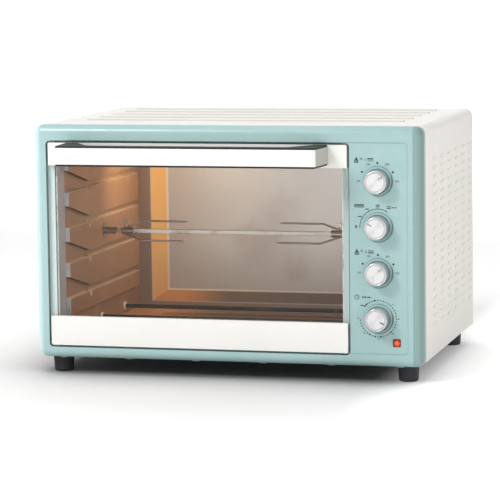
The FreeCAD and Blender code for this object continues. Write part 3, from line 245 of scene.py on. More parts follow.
def enamel(name, colour, deeper, paler, roughness, peel_mm):
    """Baked paint with a faint orange peel."""
    look = Look(name, colour, roughness)
    look.soften(0.5)
    look.mottle(deeper, 9, 0.45, 0.75, 0.5, detail=3)
    look.mottle(paler, 60, 0.55, 0.8, 0.35)
    look.mottle(deeper, 2600, 0.66, 0.76, 0.5, detail=2)
    # Painted shade in the enamel's hollows and inner corners.
    look.crevice_shade((deeper[0] * 0.5, deeper[1] * 0.5, deeper[2] * 0.5, 1), 4, 0.35)
    look.sheen(look.grain(140), 0.3, 0.7, roughness - 0.05, roughness + 0.07)
    look.bump(look.grain(700, detail=2), peel_mm, 0.5)
    look.bump(look.grain(60, detail=1), peel_mm * 2, 0.25)
    return look.set(Coat_Weight=0.25, Coat_Roughness=0.12)


def brushed(name, colour, dark, stretch, roughness, fine, metallic=1.0):
    """Sheet metal with a grain drawn out along the axis whose stretch is small."""
    look = Look(name, colour, roughness, metallic)
    look.soften(0.3)
    look.mottle(dark, fine, 0.42, 0.72, 0.45, stretch=stretch, detail=5)
    look.mottle(dark, fine / 12, 0.45, 0.8, 0.25, stretch=stretch, detail=3)
    look.mottle(dark, 14, 0.5, 0.8, 0.2, detail=3)
    look.sheen(look.grain(fine, stretch=stretch), 0.25, 0.75, roughness - 0.07, roughness + 0.1)
    return look.bump(look.grain(fine, stretch=stretch, detail=6), 0.01, 0.5)


def plastic(name, colour, paler, roughness, grain_scale=1400, depth_mm=0.03):
    """Moulded plastic with a fine texture."""
    look = Look(name, colour, roughness)
    look.soften(0.4)
    look.mottle(paler, grain_scale, 0.5, 0.75, 0.35, detail=3)
    look.mottle(paler, 25, 0.5, 0.8, 0.3)
    look.sheen(look.grain(90), 0.3, 0.7, roughness - 0.06, roughness + 0.06)
    return look.bump(look.grain(grain_scale, detail=2), depth_mm, 0.6)


def cavity_steel(name, near, far, axis, start, end, stretch, roughness=0.4):
    """Warm sheet of the cavity: its tone runs from near to far along an axis, as painted shade
    where the cavity's light falls off.
    """
    look = brushed(name, near, srgb(128, 88, 62), stretch, roughness, 600, 0.35)
    look.soften(1.2)
    # Painted shade: the tone runs from near to far along the axis, as the cavity's light falls
    # off.
    look.tint(far, look.curve(look.coordinate(axis), start, end, smooth=True))
    look.mottle(srgb(120, 78, 50), 7, 0.5, 0.8, 0.3, detail=5)
    look.mottle(srgb(243, 214, 180), 11, 0.56, 0.8, 0.3, detail=4)
    look.mottle(srgb(92, 60, 40), 180, 0.66, 0.8, 0.25, detail=6)
    return look


def spun(name, x, z):
    """Metal turned about an axis along Y at x, z, with fine rings, two dark rays of painted
    reflection, a painted dark reflection line inside the rim and a painted highlight on the rim.
    """
    dark, roughness, pitch = srgb(168, 170, 172), 0.3, 0.35 * MM
    look = Look(name, srgb(222, 221, 221), roughness, 0.55)
    look.soften(0.25)
    dx = look.math("SUBTRACT", look.coordinate(X), x)
    dz = look.math("SUBTRACT", look.coordinate(Z), z)
    radius = look.distance(dx, dz)
    rings = look.math("SINE", look.math("MULTIPLY", radius, 2 * math.pi / pitch))
    # Two dark rays across the disc: a painted reflection.
    reflection_rays = look.math("SINE", look.math("MULTIPLY", look.math("ARCTAN2", dz, dx), 2))
    look.tint(dark, look.curve(reflection_rays, 0.2, 1, 0, 0.28, smooth=True))
    # A painted dark reflection line just inside the rim.
    rim_dark_line = look.curve(radius, 12.5 * MM, 13.0 * MM, 0, 0.85, smooth=True)
    look.tint(srgb(150, 132, 134), rim_dark_line)
    # A painted highlight on the rim.
    edge = look.curve(radius, 13.4 * MM, 13.8 * MM, 0, 0.9, smooth=True)
    look.tint(srgb(226, 226, 228), edge)
    look.tint(dark, look.curve(rings, -1, 1, 0, 0.12))
    look.mottle(dark, 500, 0.5, 0.8, 0.2)
    look.sheen(rings, -1, 1, roughness - 0.05, roughness + 0.05)
    return look.bump(rings, 0.01, 0.35)


def dress(made, material):
    """Give a piece one finished material."""
    slots = made.data.materials
    slots.clear()
    slots.append(material)


def wear(look, *names):
    """Finish a material and give it to CAD nodes."""
    material = look.done()
    for name in names:
        dress(nodes[name], material)
    return material


# ------------------------------------------------------------------ shell

def knob_ring_shade(look, x, z):
    """Painted shade on and round the raised rings about the knobs: a painted shadow at the lower
    right, and a fine dark line of painted shade at the upper left.
    """
    from_x = look.math("SUBTRACT", x, KNOB_X)
    above = look.math("FLOORED_MODULO", look.math("SUBTRACT", z, KNOBS_LOW), KNOB_PITCH)
    from_z = look.math("SUBTRACT", above, KNOB_PITCH / 2)
    radius = look.distance(from_x, from_z)
    lower_right = look.math("DIVIDE", look.math("SUBTRACT", from_x, from_z), radius)
    edge = 0.5 * MM
    beyond = look.math("ADD", look.curve(z, KNOBS_LOW + edge, KNOBS_LOW),
                       look.curve(z, KNOBS_HIGH - edge, KNOBS_HIGH))
    radius = look.math("ADD", radius, beyond)
    # Each band of painted shade: its radii, its tone, how it follows the turn to the lower right,
    # and its strength.
    for radii_mm, tone, turned, strength in (
            ((20.2, 20.6, 21.0, 22.8), srgb(70, 102, 98), (0.0, 1.0), 0.9),
            ((17.6, 17.9, 20.5, 20.8), srgb(104, 136, 133), (0.2, 1.2), 0.5),
            ((20.2, 20.5, 21.0, 21.6), srgb(100, 152, 148), (0.2, -0.6), 0.5)):
        ring = look.band(radius, *(r * MM for r in radii_mm))
        look.tint(tone, look.both(ring, look.curve(lower_right, *turned, 0, strength)))


def door_recess_shade_and_reflection(look, x):
    """Painted shade on the ledges beside the door, a painted reflection on their front faces, and
    a painted shadow line at the recess's right edge.
    """
    recess = look.both(look.within(Y, FRONT + 1.8 * MM, FRONT + 10 * MM),
                       look.within(X, OPENING_LEFT, OPENING_RIGHT),
                       look.within(Z, OPENING_LOW, OPENING_HIGH))
    reach, edge = 11 * MM, 1 * MM
    left = look.curve(x, OPENING_LEFT + reach + edge, OPENING_LEFT + reach, 0, 0.9)
    right = look.curve(x, OPENING_RIGHT - reach - edge, OPENING_RIGHT - reach, 0, 0.55)
    ledges = look.both(recess, look.math("MAXIMUM", left, right))
    # Painted shade on the ledges.
    look.tint(srgb(84, 112, 110), ledges)
    # Painted reflection on the ledges' front faces.
    look.tint(srgb(226, 244, 243), look.both(ledges, look.curve(look.facing(Y), -0.6, -0.9)))
    # A painted shadow line at the recess's right edge.
    line = look.within(X, OPENING_RIGHT - 2.6 * MM, OPENING_RIGHT)
    look.tint(srgb(96, 126, 122), look.both(recess, line))


def fascia_look():
    """Mint enamel, with painted shade towards the controls and on the right shoulder, a painted
    highlight on faces turned to the left, and painted shade round the knobs, in hollows and in
    the door's recess, with a painted reflection there.
    """
    look = enamel("mint_enamel", srgb(167, 199, 198), srgb(153, 187, 186), srgb(186, 213, 211),
                  0.34, 0.05)
    x, z, sideways = look.coordinate(X), look.coordinate(Z), look.facing(X)
    shoulder = SIDE - 15.5 * MM
    edge = 0.9 * MM
    # Painted shade, deeper towards the controls.
    look.tint(srgb(140, 172, 171), look.curve(x, 0.12, 0.19, 0, 0.35, smooth=True))
    # Painted shade on the right shoulder, starting at a crisp line.
    look.tint(srgb(124, 150, 146), look.curve(x, shoulder - edge, shoulder + edge, 0, 0.75))
    # Painted shade on faces turned to the right.
    look.tint(srgb(100, 124, 120), look.curve(sideways, 0.05, 0.9, 0, 0.5, smooth=True))
    # Painted highlight on faces turned to the left.
    look.tint(srgb(206, 230, 231), look.curve(sideways, 0.0, -0.6, 0, 0.9, smooth=True))
    # Painted shade round the knobs.
    knob_ring_shade(look, x, z)
    # Painted shade in hollows and in the door's gaps.
    look.crevice_shade(srgb(52, 84, 82), 6, 0.85, 0.6, 0.15)
    # Painted shade and a painted reflection in the door's recess.
    door_recess_shade_and_reflection(look, x)
    return look


def case_look():
    """Cream enamel, with painted shade on the right side, deeper towards its rear."""
    look = enamel("cream_enamel", srgb(219, 215, 207), srgb(207, 202, 191), srgb(229, 226, 220),
                  0.42, 0.06)
    # Painted shade on the right side, deepening towards the rear.
    side_on = look.curve(look.facing(X), 0.5, 0.9)
    look.tint(srgb(200, 196, 188), look.math("MULTIPLY", side_on, 0.85))
    rearward = look.curve(look.coordinate(Y), -0.17, 0.23, 0, 0.5)
    return look.tint(srgb(178, 173, 163), look.both(side_on, rearward))


def zinc_look():
    """Galvanised sheet with a pale spangle."""
    look = brushed("galvanised_sheet", srgb(186, 188, 190), srgb(140, 143, 147), (1, 1, 1),
                   0.42, 90)
    spangle = look.add("ShaderNodeTexVoronoi")
    spangle.inputs["Scale"].default_value = 130
    look.join(look.place, spangle.inputs["Vector"])
    cells = look.curve(spangle.outputs["Distance"], 0.1, 0.9, 0, 0.6)
    return look.tint(srgb(214, 216, 218), cells)


wear(fascia_look(), "front_fascia")
cream = wear(case_look(), "outer_case")
wear(enamel("cream_back", srgb(211, 206, 195), srgb(196, 190, 177), srgb(223, 220, 211),
            0.45, 0.06), "back_panel")
wear(zinc_look(), "base_pan", "heat_shield")


# ------------------------------------------------------------------ cavity

def wall_look():
    """Side wall: a painted reflection of the pale light from outside at its front edge, and
    painted highlights on top of its rack guides with painted shade beneath.
    """
    low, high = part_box("cavity_left_wall")
    look = cavity_steel("cavity_wall", srgb(192, 146, 106), srgb(176, 134, 100), Z, high.z, low.z,
                        ALONG_Y)
    # In front of this depth the wall takes a painted reflection of the pale light from outside.
    reflecting_front, edge = FRONT + 42.4 * MM, 0.2 * MM
    look.tint(srgb(196, 202, 208), look.curve(look.coordinate(Y), reflecting_front + edge, reflecting_front - edge,
                                              0, 0.85))
    # Painted highlights on faces turned up, painted shade on faces turned down.
    upward = look.facing(Z, 1.8)
    look.tint(srgb(255, 232, 192), look.curve(upward, 0.04, 0.3))
    return look.tint(srgb(66, 42, 28), look.curve(upward, -0.15, -0.6, 0, 0.85))


def floor_look():
    """Floor, with painted shade towards the back and a painted golden reflection towards the
    left.
    """
    look = cavity_steel("cavity_floor", srgb(176, 138, 110), srgb(140, 104, 80), Y,
                        FRONT, FRONT + 0.4, ALONG_X)
    # Painted golden reflection towards the left.
    leftward = look.curve(look.coordinate(X), -0.08, -0.24, 0, 0.85, smooth=True)
    return look.tint(srgb(240, 178, 112), leftward)


def back_look():
    """Rear wall: grey, with painted warm light on the sloping sides round its recess, painted
    shade and a painted golden reflection on the lower slope, a painted highlight at their foot,
    and painted shade at the rim.
    """
    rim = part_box("cavity_back")[0].y
    # Painted light: lighter towards the right.
    look = cavity_steel("cavity_back", srgb(206, 206, 206), srgb(222, 218, 214), X, -0.2, 0.12,
                        ALONG_X, 0.34)
    depth = look.coordinate(Y)
    slope = look.band(depth, *(rim + mm * MM for mm in (0.9, 1.6, 18.4, 19.2)))
    # Painted warm light on the slope turned to the right.
    look.tint(srgb(252, 200, 126), look.both(slope, look.curve(look.facing(X), 0.15, 0.4)))
    # Painted shade on the lower slope, which is turned up.
    upward = look.both(slope, look.curve(look.facing(Z), 0.15, 0.4, 0, 0.85))
    look.tint(srgb(98, 68, 48), upward)
    # A painted golden reflection on its left.
    leftward = look.curve(look.coordinate(X), -0.1, -0.2, smooth=True)
    look.tint(srgb(226, 160, 98), look.both(upward, leftward))
    # A painted highlight at the foot of the slopes.
    fold_highlight = look.band(depth, *(rim + mm * MM for mm in (17.2, 17.8, 19.5, 19.9)))
    look.tint(srgb(250, 238, 222), look.math("MULTIPLY", fold_highlight, 0.8))
    # Painted shade along the rim.
    look.tint(srgb(138, 98, 70), look.curve(depth, rim + 0.8 * MM, rim + 0.4 * MM, 0, 0.75))
    return look.soften(1.2)


def flange_look():
    """The bright speckled ring round the cavity's mouth."""
    look = brushed("cavity_flange", srgb(226, 224, 218), srgb(150, 144, 136), (60, 60, 60),
                   0.26, 20, 0.4)
    look.mottle(srgb(96, 84, 72), 60, 0.5, 0.7, 0.5, detail=6)
    return look.mottle(srgb(232, 228, 220), 420, 0.6, 0.72, 0.6, detail=3)


wear(wall_look(), "cavity_left_wall", "cavity_right_wall")
wear(floor_look(), "cavity_floor")
# The roof's tone falls off from front to back: painted shade.
wear(cavity_steel("cavity_roof", srgb(196, 164, 130), srgb(190, 150, 112), Y,
                  FRONT, FRONT + 0.4, ALONG_X), "cavity_roof")
wear(back_look(), "cavity_back")
wear(flange_look(), "cavity_front_frame")


# ------------------------------------------------------------------ metals

def trim_look(name):
    return brushed(name, srgb(244, 243, 239), srgb(222, 220, 215), (3, 500, 500), 0.36, 900, 0.25)


def handle_look():
    """As the trims, with its right end in shade."""
    look = trim_look("handle_steel")
    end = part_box("handle_cover")[1].x - 4 * MM
    edge = 0.3 * MM
    shade = look.curve(look.coordinate(X), end - edge, end + edge, 0, 0.9)
    return look.tint(srgb(176, 174, 164), shade)


def heater_look():
    """Heat-stained sheath of a tube heater."""
    look = Look("heater_sheath", srgb(58, 46, 38), 0.5, 0.6)
    look.mottle(srgb(112, 84, 62), 120, 0.5, 0.75, 0.6)
    look.mottle(srgb(34, 28, 24), 900, 0.45, 0.7, 0.7, stretch=(0.2, 1, 1))
    look.mottle(srgb(150, 104, 66), 14, 0.58, 0.8, 0.45, detail=4)
    look.sheen(look.grain(300), 0.3, 0.7, 0.38, 0.62)
    return look.bump(look.grain(1200), 0.05, 0.6)


wear(trim_look("brushed_trim"), "door_top_trim", "door_bottom_trim")
wear(handle_look(), "handle_cover")
wear(brushed("plated_steel", srgb(206, 206, 204), srgb(150, 150, 148), (50, 50, 50), 0.24, 30),
     "case_screws", "foot_screws", "handle_screws", *(f"{name}_shaft" for name in CONTROLS))
wear(brushed("pin_steel", srgb(120, 122, 124), srgb(70, 72, 74), (8, 300, 300), 0.3, 40),
     "door_hinge_pins")
wear(brushed("hinge_steel", srgb(196, 196, 194), srgb(130, 130, 128), (300, 8, 8), 0.32, 60),
     "door_arm_left", "door_arm_right")
wear(brushed("spring_steel", srgb(120, 120, 124), srgb(70, 68, 70), (300, 300, 300), 0.3, 8),
     "door_spring_left", "door_spring_right")
wear(brushed("spit_steel", srgb(190, 182, 170), srgb(112, 92, 70), (5, 300, 300), 0.24, 400)
     .mottle(srgb(120, 84, 54), 40, 0.52, 0.75, 0.5),
     "spit_rod", "spit_cradle", "drive_socket", "left_fork", "right_fork",
     "left_fork_screw", "right_fork_screw")
wear(brushed("motor_steel", srgb(190, 190, 186), srgb(140, 138, 132), (30, 30, 30), 0.34, 30),
     "spit_motor")
wear(heater_look(), *(name for name in nodes if "_heater_" in name))


# ------------------------------------------------------------------ ceramic, plastic, glass

def bead_look():
    """Ceramic with a thin glaze and burnt specks."""
    look = Look("ceramic", srgb(236, 232, 224), 0.25)
    look.mottle(srgb(214, 204, 188), 90, 0.5, 0.75, 0.6)
    look.mottle(srgb(150, 120, 92), 400, 0.68, 0.8, 0.4)
    look.bump(look.grain(500), 0.04, 0.4)
    return look.set(Coat_Weight=0.5)


def glass_look():
    """Clear glass: nearly all alpha, so that the cavity's light isn't lost in it."""
    look = Look("door_glass", (0.30, 0.36, 0.35, 1), 0.03)
    look.mottle((0.36, 0.42, 0.41, 1), 6, 0.4, 0.7, 0.5)
    look.sheen(look.grain(30), 0.3, 0.8, 0.02, 0.06)
    look.bump(look.grain(5, detail=1), 0.02, 0.1)
    look.material.surface_render_method = "DITHERED"
    return look.set(Alpha=0.04)


def lens_look():
    """Orange lens, lit at its heart and dark at its edge."""
    x, z = middle("indicator_lens")
    look = Look("orange_lens", srgb(238, 128, 24), 0.22)
    across = look.coordinate(X)
    far = look.distance(look.math("SUBTRACT", across, x + 0.5 * MM),
                        look.math("SUBTRACT", look.coordinate(Z), z - 0.3 * MM))
    look.tint(srgb(226, 66, 8), look.curve(far, 0.8 * MM, 2.6 * MM, smooth=True))
    look.tint(srgb(96, 12, 4), look.curve(far, 2.8 * MM, 5.4 * MM, 0, 0.95, smooth=True))
    look.mottle(srgb(250, 140, 60), 900, 0.5, 0.75, 0.15)
    look.bump(look.math("SINE", look.math("MULTIPLY", across, 4500)), 0.05, 0.3)
    look.join(look.colour, look.bsdf.inputs["Emission Color"])
    return look.set(Emission_Strength=0.12)


wear(bead_look(), "heater_beads")
wear(plastic("foot_rubber", srgb(40, 40, 43), srgb(66, 66, 68), 0.68, 1100, 0.06),
     "feet", "cord_grommet")
wear(plastic("handle_plastic", srgb(22, 22, 23), srgb(38, 38, 40), 0.55, 1500, 0.04),
     "handle_core")
wear(plastic("control_plastic", srgb(206, 196, 176), srgb(228, 220, 204), 0.5),
     "upper_thermostat", "lower_thermostat", "function_switch", "timer", "terminal_block")
wear(plastic("lamp_plastic", srgb(232, 226, 214), srgb(244, 240, 232), 0.4), "indicator_lamp")
wear(glass_look(), "door_glass")
wear(lens_look(), "indicator_lens")


# ------------------------------------------------------------------ mesh pieces

def piece(name, mesh, body, material, smooth=True):
    """A visible mesh that rides a body."""
    made = bpy.data.objects.new(name, mesh)
    bpy.context.scene.collection.objects.link(made)
    for face in mesh.polygons:
        face.use_smooth = smooth
    dress(made, material)
    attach(made, body)
    return made


def to_mesh(name, shape):
    bmesh.ops.remove_doubles(shape, verts=shape.verts, dist=1e-7)
    bmesh.ops.recalc_face_normals(shape, faces=shape.faces)
    mesh = bpy.data.meshes.new(name)
    shape.to_mesh(mesh)
    shape.free()
    return mesh


def at(x, z, radius, degrees):
    """A place at a radius from x, z; angles are clockwise from the top."""
    angle = math.radians(degrees)
    return Vector((x + radius * math.sin(angle), z + radius * math.cos(angle)))


def lathe(x, z, profile, flute):
    """A closed turned form about an axis along Y: profile is a closed loop of (radius, y)."""
    steps = 180
    shape = bmesh.new()
    rings = []
    for k, (radius, y) in enumerate(profile):
        ring = []
        for i in range(steps):
            angle = 2 * math.pi * i / steps
            grown = radius + flute(k, angle)
            ring.append(shape.verts.new((x + grown * math.sin(angle), y,
                                         z + grown * math.cos(angle))))
        rings.append(ring)
    for a, b in zip(rings, rings[1:]):
        for i in range(steps):
            j = (i + 1) % steps
            shape.faces.new([a[i], a[j], b[j], b[i]])
    return shape


def knob(control):
    """The satin knob: a skirt with a bead at its foot, fine flutes, a rim round the disc."""
    bore, waist, skirt_height, skirt_steps = 3.4, 16.7, 14.6, 8
    low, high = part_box(f"{control}_knob")
    base, face = high.y, low.y
    foot = base - 2.6 * MM
    profile = [(bore, base), (16.8, base), (17.3, base - 0.3 * MM), (17.4, base - 1.2 * MM),
               (17.2, base - 1.9 * MM), (16.85, base - 2.2 * MM), (waist, foot)]
    fluted = range(len(profile), len(profile) + skirt_steps)
    for k in range(1, skirt_steps + 1):
        part = k / skirt_steps
        waisted = waist - 0.35 * part - 0.1 * math.sin(math.pi * part)
        profile.append((waisted, foot - part * skirt_height * MM))
    profile += [(16.25, face + 1.6 * MM), (16.1, face + 0.8 * MM), (15.7, face + 0.25 * MM),
                (15.2, face + 0.02 * MM), (14.85, face + 0.1 * MM), (14.58, face + 0.5 * MM),
                (14.5, face + 1.35 * MM), (bore, face + 1.4 * MM), (bore, base)]
    profile = [(radius * MM, y) for radius, y in profile]

    def flute(k, angle):
        return 0.07 * MM * math.cos(60 * angle) if k in fluted else 0
    shape = lathe(*middle(f"{control}_cap"), profile, flute)
    made = piece(f"{control}_knob_shell", to_mesh("knob", shape), f"{control}_control",
                 KNOB_METAL)
    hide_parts(f"{control}_knob")


def plate(shape, outline, y0, y1):
    """A flat plate from an outline in the X-Z plane, between two depths."""
    near = [shape.verts.new((p.x, y0, p.y)) for p in outline]
    far = [shape.verts.new((p.x, y1, p.y)) for p in outline]
    shape.faces.new(near)
    shape.faces.new(list(reversed(far)))
    for i in range(len(outline)):
        j = (i + 1) % len(outline)
        shape.faces.new([near[i], far[i], far[j], near[j]])


def capsule(shape, a, b, radius, y0, y1, steps=10):
    """A flat round-ended bar in the X-Z plane, from a to b, between two depths."""
    along = (b - a).normalized()
    side = Vector((-along.y, along.x))
    outline = []
    for centre, start in ((b, -90), (a, 90)):
        for i in range(steps + 1):
            angle = math.radians(start + 180 * i / steps)
            outline.append(centre + along * radius * math.cos(angle)
                           + side * radius * math.sin(angle))
    plate(shape, outline, y0, y1)


def pointer(control, degrees):
    """The printed line that shows where a knob is set."""
    x, z = middle(f"{control}_cap")
    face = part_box(f"{control}_cap")[0].y
    shape = bmesh.new()
    capsule(shape, at(x, z, 7.4 * MM, degrees), at(x, z, 12.2 * MM, degrees), 1.0 * MM,
            face - 0.06 * MM, face + 0.04 * MM)
    grey = 112 if control == "timer" else 158
    paint = plastic(f"{control}_pointer_paint", srgb(grey, grey + 4, grey + 5),
                    srgb(grey + 24, grey + 26, grey + 28), 0.5)
    piece(f"{control}_pointer", to_mesh("pointer", shape), f"{control}_control", paint.done(),
          smooth=False)


# ------------------------------------------------------------------ prints on the panel

INK_Y0 = PANEL - 0.1 * MM
INK_Y1 = PANEL + 0.2 * MM
PRINT_SHIFT = 0.4 * MM


def arc(shape, x, z, radius_mm, start, end, half_mm, steps=48):
    """A thin printed arc; angles are clockwise from the top."""
    turns = [start + (end - start) * i / steps for i in range(steps + 1)]
    back = [end - (end - start) * i / steps for i in range(steps + 1)]
    outline = [at(x, z, (radius_mm + half_mm) * MM, degrees) for degrees in turns]
    outline += [at(x, z, (radius_mm - half_mm) * MM, degrees) for degrees in back]
    plate(shape, outline, INK_Y0, INK_Y1)


def dot(shape, centre, radius_mm):
    speck = Vector((1e-6, 0))
    capsule(shape, centre, centre + speck, radius_mm * MM, INK_Y0, INK_Y1)


def stroke(shape, a, b, half_mm):
    capsule(shape, a, b, half_mm * MM, INK_Y0, INK_Y1, 5)


def level_stroke(shape, x0, x1, z, half_mm):
    stroke(shape, Vector((x0, z)), Vector((x1, z)), half_mm)


def figures(shape, text, x, z, height_mm, weight):
    """Print figures, centred at x, z, standing a hair proud of the panel."""
    curve = bpy.data.curves.new("figures", "FONT")
    curve.body = text
    curve.size = height_mm * MM / 0.7
    curve.align_x = "CENTER"
    curve.align_y = "CENTER"
    curve.extrude = 0.12 * MM
    curve.offset = weight * MM
    curve.resolution_u = 3
    holder = bpy.data.objects.new("figures", curve)
    bpy.context.scene.collection.objects.link(holder)
    bpy.context.view_layer.update()
    graph = bpy.context.evaluated_depsgraph_get()
    mesh = bpy.data.meshes.new_from_object(holder.evaluated_get(graph))
    upright = Matrix.Rotation(math.pi / 2, 4, "X")
    mesh.transform(Matrix.Translation((x, PANEL - 0.08 * MM, z)) @ upright)
    shape.from_mesh(mesh)
    bpy.data.objects.remove(holder)
    bpy.data.curves.remove(curve)
    bpy.data.meshes.remove(mesh)


def pan(shape, x, z):
    """A small sign for heat: a pan with two bars under it and a drop over it."""
    for height, half, reach in ((-3.0, 0.55, 3.0), (-1.4, 0.45, 3.0), (0.3, 0.7, 2.4)):
        level_stroke(shape, x - reach * MM, x + reach * MM, z + height * MM, half)
    dot(shape, Vector((x, z + 2.2 * MM)), 1.3)
    stroke(shape, Vector((x, z + 2.4 * MM)), Vector((x, z + 4.2 * MM)), 0.5)


def heat_print(shape, x, z, number, heavy_bar):
    """Degrees from 100 to 250, with dots between, and a sign for the upper or lower heat."""
    for degrees, text in ((-90, "100"), (-30, "150"), (30, "200"), (90, "250")):
        spot = at(x, z, (27.8 if abs(degrees) > 60 else 27.6) * MM, degrees)
        figures(shape, text, spot.x, spot.y, 2.7, -0.03)
    for degrees in (-60, 0, 60):
        dot(shape, at(x, z, 25.8 * MM, degrees), 1.5)
    pan(shape, x - 30.5 * MM, z + 29.5 * MM)
    figures(shape, "°C", x - 23.6 * MM, z + 31 * MM, 2.7, 0.1)
    figures(shape, number, x - 17.4 * MM, z + 30 * MM, 3.2, 0.1)
    for bar in range(3):
        level_stroke(shape, x - 14 * MM, x - 6.4 * MM, z + (28.6 + 1.7 * bar) * MM,
                     0.62 if bar == heavy_bar else 0.3)


def function_print(shape, x, z):
    """Five positions on an arc, each with bars for the heaters that are on."""
    arc(shape, x, z, 26, -90, 30, 0.42)
    for degrees in (-90, -60, -30, 0, 30):
        dot(shape, at(x, z, 26 * MM, degrees), 0.85)
    for degrees, bars, reach in ((-60, (0,), 29.8), (-30, (-1,), 31.0), (0, (1, -1), 30.2),
                                 (30, (1, -1), 32.4)):
        spot = at(x, z, reach * MM, degrees)
        for bar in bars:
            level_stroke(shape, spot.x - 2.3 * MM, spot.x + 2.3 * MM, spot.y + bar * 1.2 * MM,
                         0.62)
    # Three dots follow the last position's bars.
    for k in (1, 2, 3):
        dot(shape, Vector((spot.x + (2.4 + 2.6 * k) * MM, spot.y)), 0.95)
    figures(shape, "0", x - 31.4 * MM, z + 0.4 * MM, 4.0, 0.2)
    for k in range(3):
        level_stroke(shape, x - 33.6 * MM, x - 20 * MM, z + (28.6 + 1.7 * k) * MM, 0.5)


def timer_print(shape, x, z):
    """An hour in dots, the tens in figures, and a small clock."""
    for k in range(31):
        heavy = k in (0, 16, 20, 22, 24)
        dot(shape, at(x, z, 26.3 * MM, 9.17 * k - 11), 1.3 if heavy else 0.95)
    for k in range(1, 7):
        spot = at(x, z, 29.6 * MM, 45 * k)
        figures(shape, str(10 * k), spot.x, spot.y, 2.0, -0.03)
    arc(shape, x, z, 26.4, -47, -11, 0.36, 16)
    for degrees in (-40, -48):
        dot(shape, at(x, z, 26.4 * MM, degrees), 1.2)
    stroke(shape, at(x, z, 28.4 * MM, -50), at(x, z, 31.4 * MM, -53), 0.7)
    cx, cz = x - 31 * MM, z + 30.5 * MM
    arc(shape, cx, cz, 3.1, 0, 358, 0.4)
    stroke(shape, Vector((cx, cz)), Vector((cx, cz + 2.0 * MM)), 0.3)
    stroke(shape, Vector((cx, cz)), Vector((cx + 1.5 * MM, cz)), 0.3)
    figures(shape, "0-60 min", cx + 13.6 * MM, cz, 2.5, 0.09)


def prints():
    ink = plastic("panel_ink", srgb(10, 20, 24), srgb(28, 42, 46), 0.55, 2500, 0.01).done()
    for control in CONTROLS:
        x, z = middle(f"{control}_cap")
        x -= PRINT_SHIFT
        shape = bmesh.new()
        if control == "function":
            function_print(shape, x, z)
        elif control == "timer":
            timer_print(shape, x, z)
        elif control == "upper_heat":
            heat_print(shape, x, z, "1", 2)
        else:
            heat_print(shape, x, z, "2", 0)
        mesh = bpy.data.meshes.new("print")
        shape.to_mesh(mesh)
        shape.free()
        piece(f"{control}_dial_print", mesh, "oven_body", ink, smooth=False)


# ------------------------------------------------------------------ louvres

def hood(shape, centre, out):
    """A pressed louvre hood on an upright side: open below, tapering out at its ends and top."""
    half_length, height, proud = 15.2 * MM, 3.4 * MM, 0.72 * MM
    across, down = 14, 6
    skin, inner = [], []
    for i in range(across + 1):
        s = -1 + 2 * i / across
        swell = math.sqrt(max(0.0, 1 - s * s))
        outer_row, inner_row = [], []
        for j in range(down + 1):
            t = j / down
            lift = proud * swell * math.sin(math.pi / 2 * t) ** 0.8
            y = centre.y + s * half_length
            z = centre.z + height * (0.62 - 1.12 * t * (0.35 + 0.65 * swell))
            over = lift + 0.02 * MM
            under = max(lift - 0.35 * MM, -0.05 * MM)
            outer_row.append(shape.verts.new((centre.x + out * over, y, z)))
            inner_row.append(shape.verts.new((centre.x + out * under, y, z)))
        skin.append(outer_row)
        inner.append(inner_row)

    def rim(sheet):
        return ([row[0] for row in sheet] + sheet[-1][1:]
                + [row[down] for row in reversed(sheet)][1:] + sheet[0][::-1][1:-1])
    for sheet in (skin, inner):
        for a, b in zip(sheet, sheet[1:]):
            for j in range(down):
                shape.faces.new([a[j], a[j + 1], b[j + 1], b[j]])
    near, far = rim(skin), rim(inner)
    for i in range(len(near)):
        j = (i + 1) % len(near)
        shape.faces.new([near[i], near[j], far[j], far[i]])


def hoods():
    """Louvre hoods pressed out over the slots of both sides."""
    columns, rows = 6, 20
    low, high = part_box("outer_case")
    first_y, last_y = low.y + 76 * MM, high.y - 24 * MM
    first_z, last_z = low.z + 46 * MM, high.z - 53.4 * MM
    step_y, step_z = (last_y - first_y) / (columns - 1), (last_z - first_z) / (rows - 1)
    for name, x, out in (("left", low.x, -1), ("right", high.x, 1)):
        shape = bmesh.new()
        for column in range(columns):
            for row in range(rows):
                hood(shape, Vector((x, first_y + step_y * column, first_z + step_z * row)), out)
        piece(f"louvre_hoods_{name}", to_mesh("hoods", shape), "oven_body", cream)


def knob_look():
    """Satin metal, with painted shade at its lower left and on its right."""
    look = brushed("knob_silver", srgb(226, 226, 227), srgb(176, 176, 178), (300, 3, 300),
                   0.24, 300, 0.7)
    # Painted shade on faces turned to the lower left, and on faces turned to the right.
    lower_left = look.math("ADD", look.facing(X), look.facing(Z))
    look.tint(srgb(84, 96, 96), look.curve(lower_left, -0.75, -1.2, 0, 0.9))
    return look.tint(srgb(150, 154, 156), look.curve(look.facing(X), 0.3, 1.0, 0, 0.6))


hoods()
KNOB_METAL = knob_look().done()
for control, degrees in CONTROLS.items():
    knob(control)
    wear(spun(f"{control}_disc", *middle(f"{control}_cap")), f"{control}_cap")
    pointer(control, degrees)
prints()


# ------------------------------------------------------------------ studio

def area(name, place, target, size, power, colour=(1, 1, 1)):
    """A round soft lamp, turned to its target."""
    data = bpy.data.lights.new(name, "AREA")
    data.shape = "DISK"
    data.size = size
    data.energy = power
    data.color = colour
    lamp = bpy.data.objects.new(name, data)
    bpy.context.scene.collection.objects.link(lamp)
    lamp.location = place
    lamp.rotation_euler = (Vector(target) - Vector(place)).to_track_quat("-Z", "Y").to_euler()
    return lamp


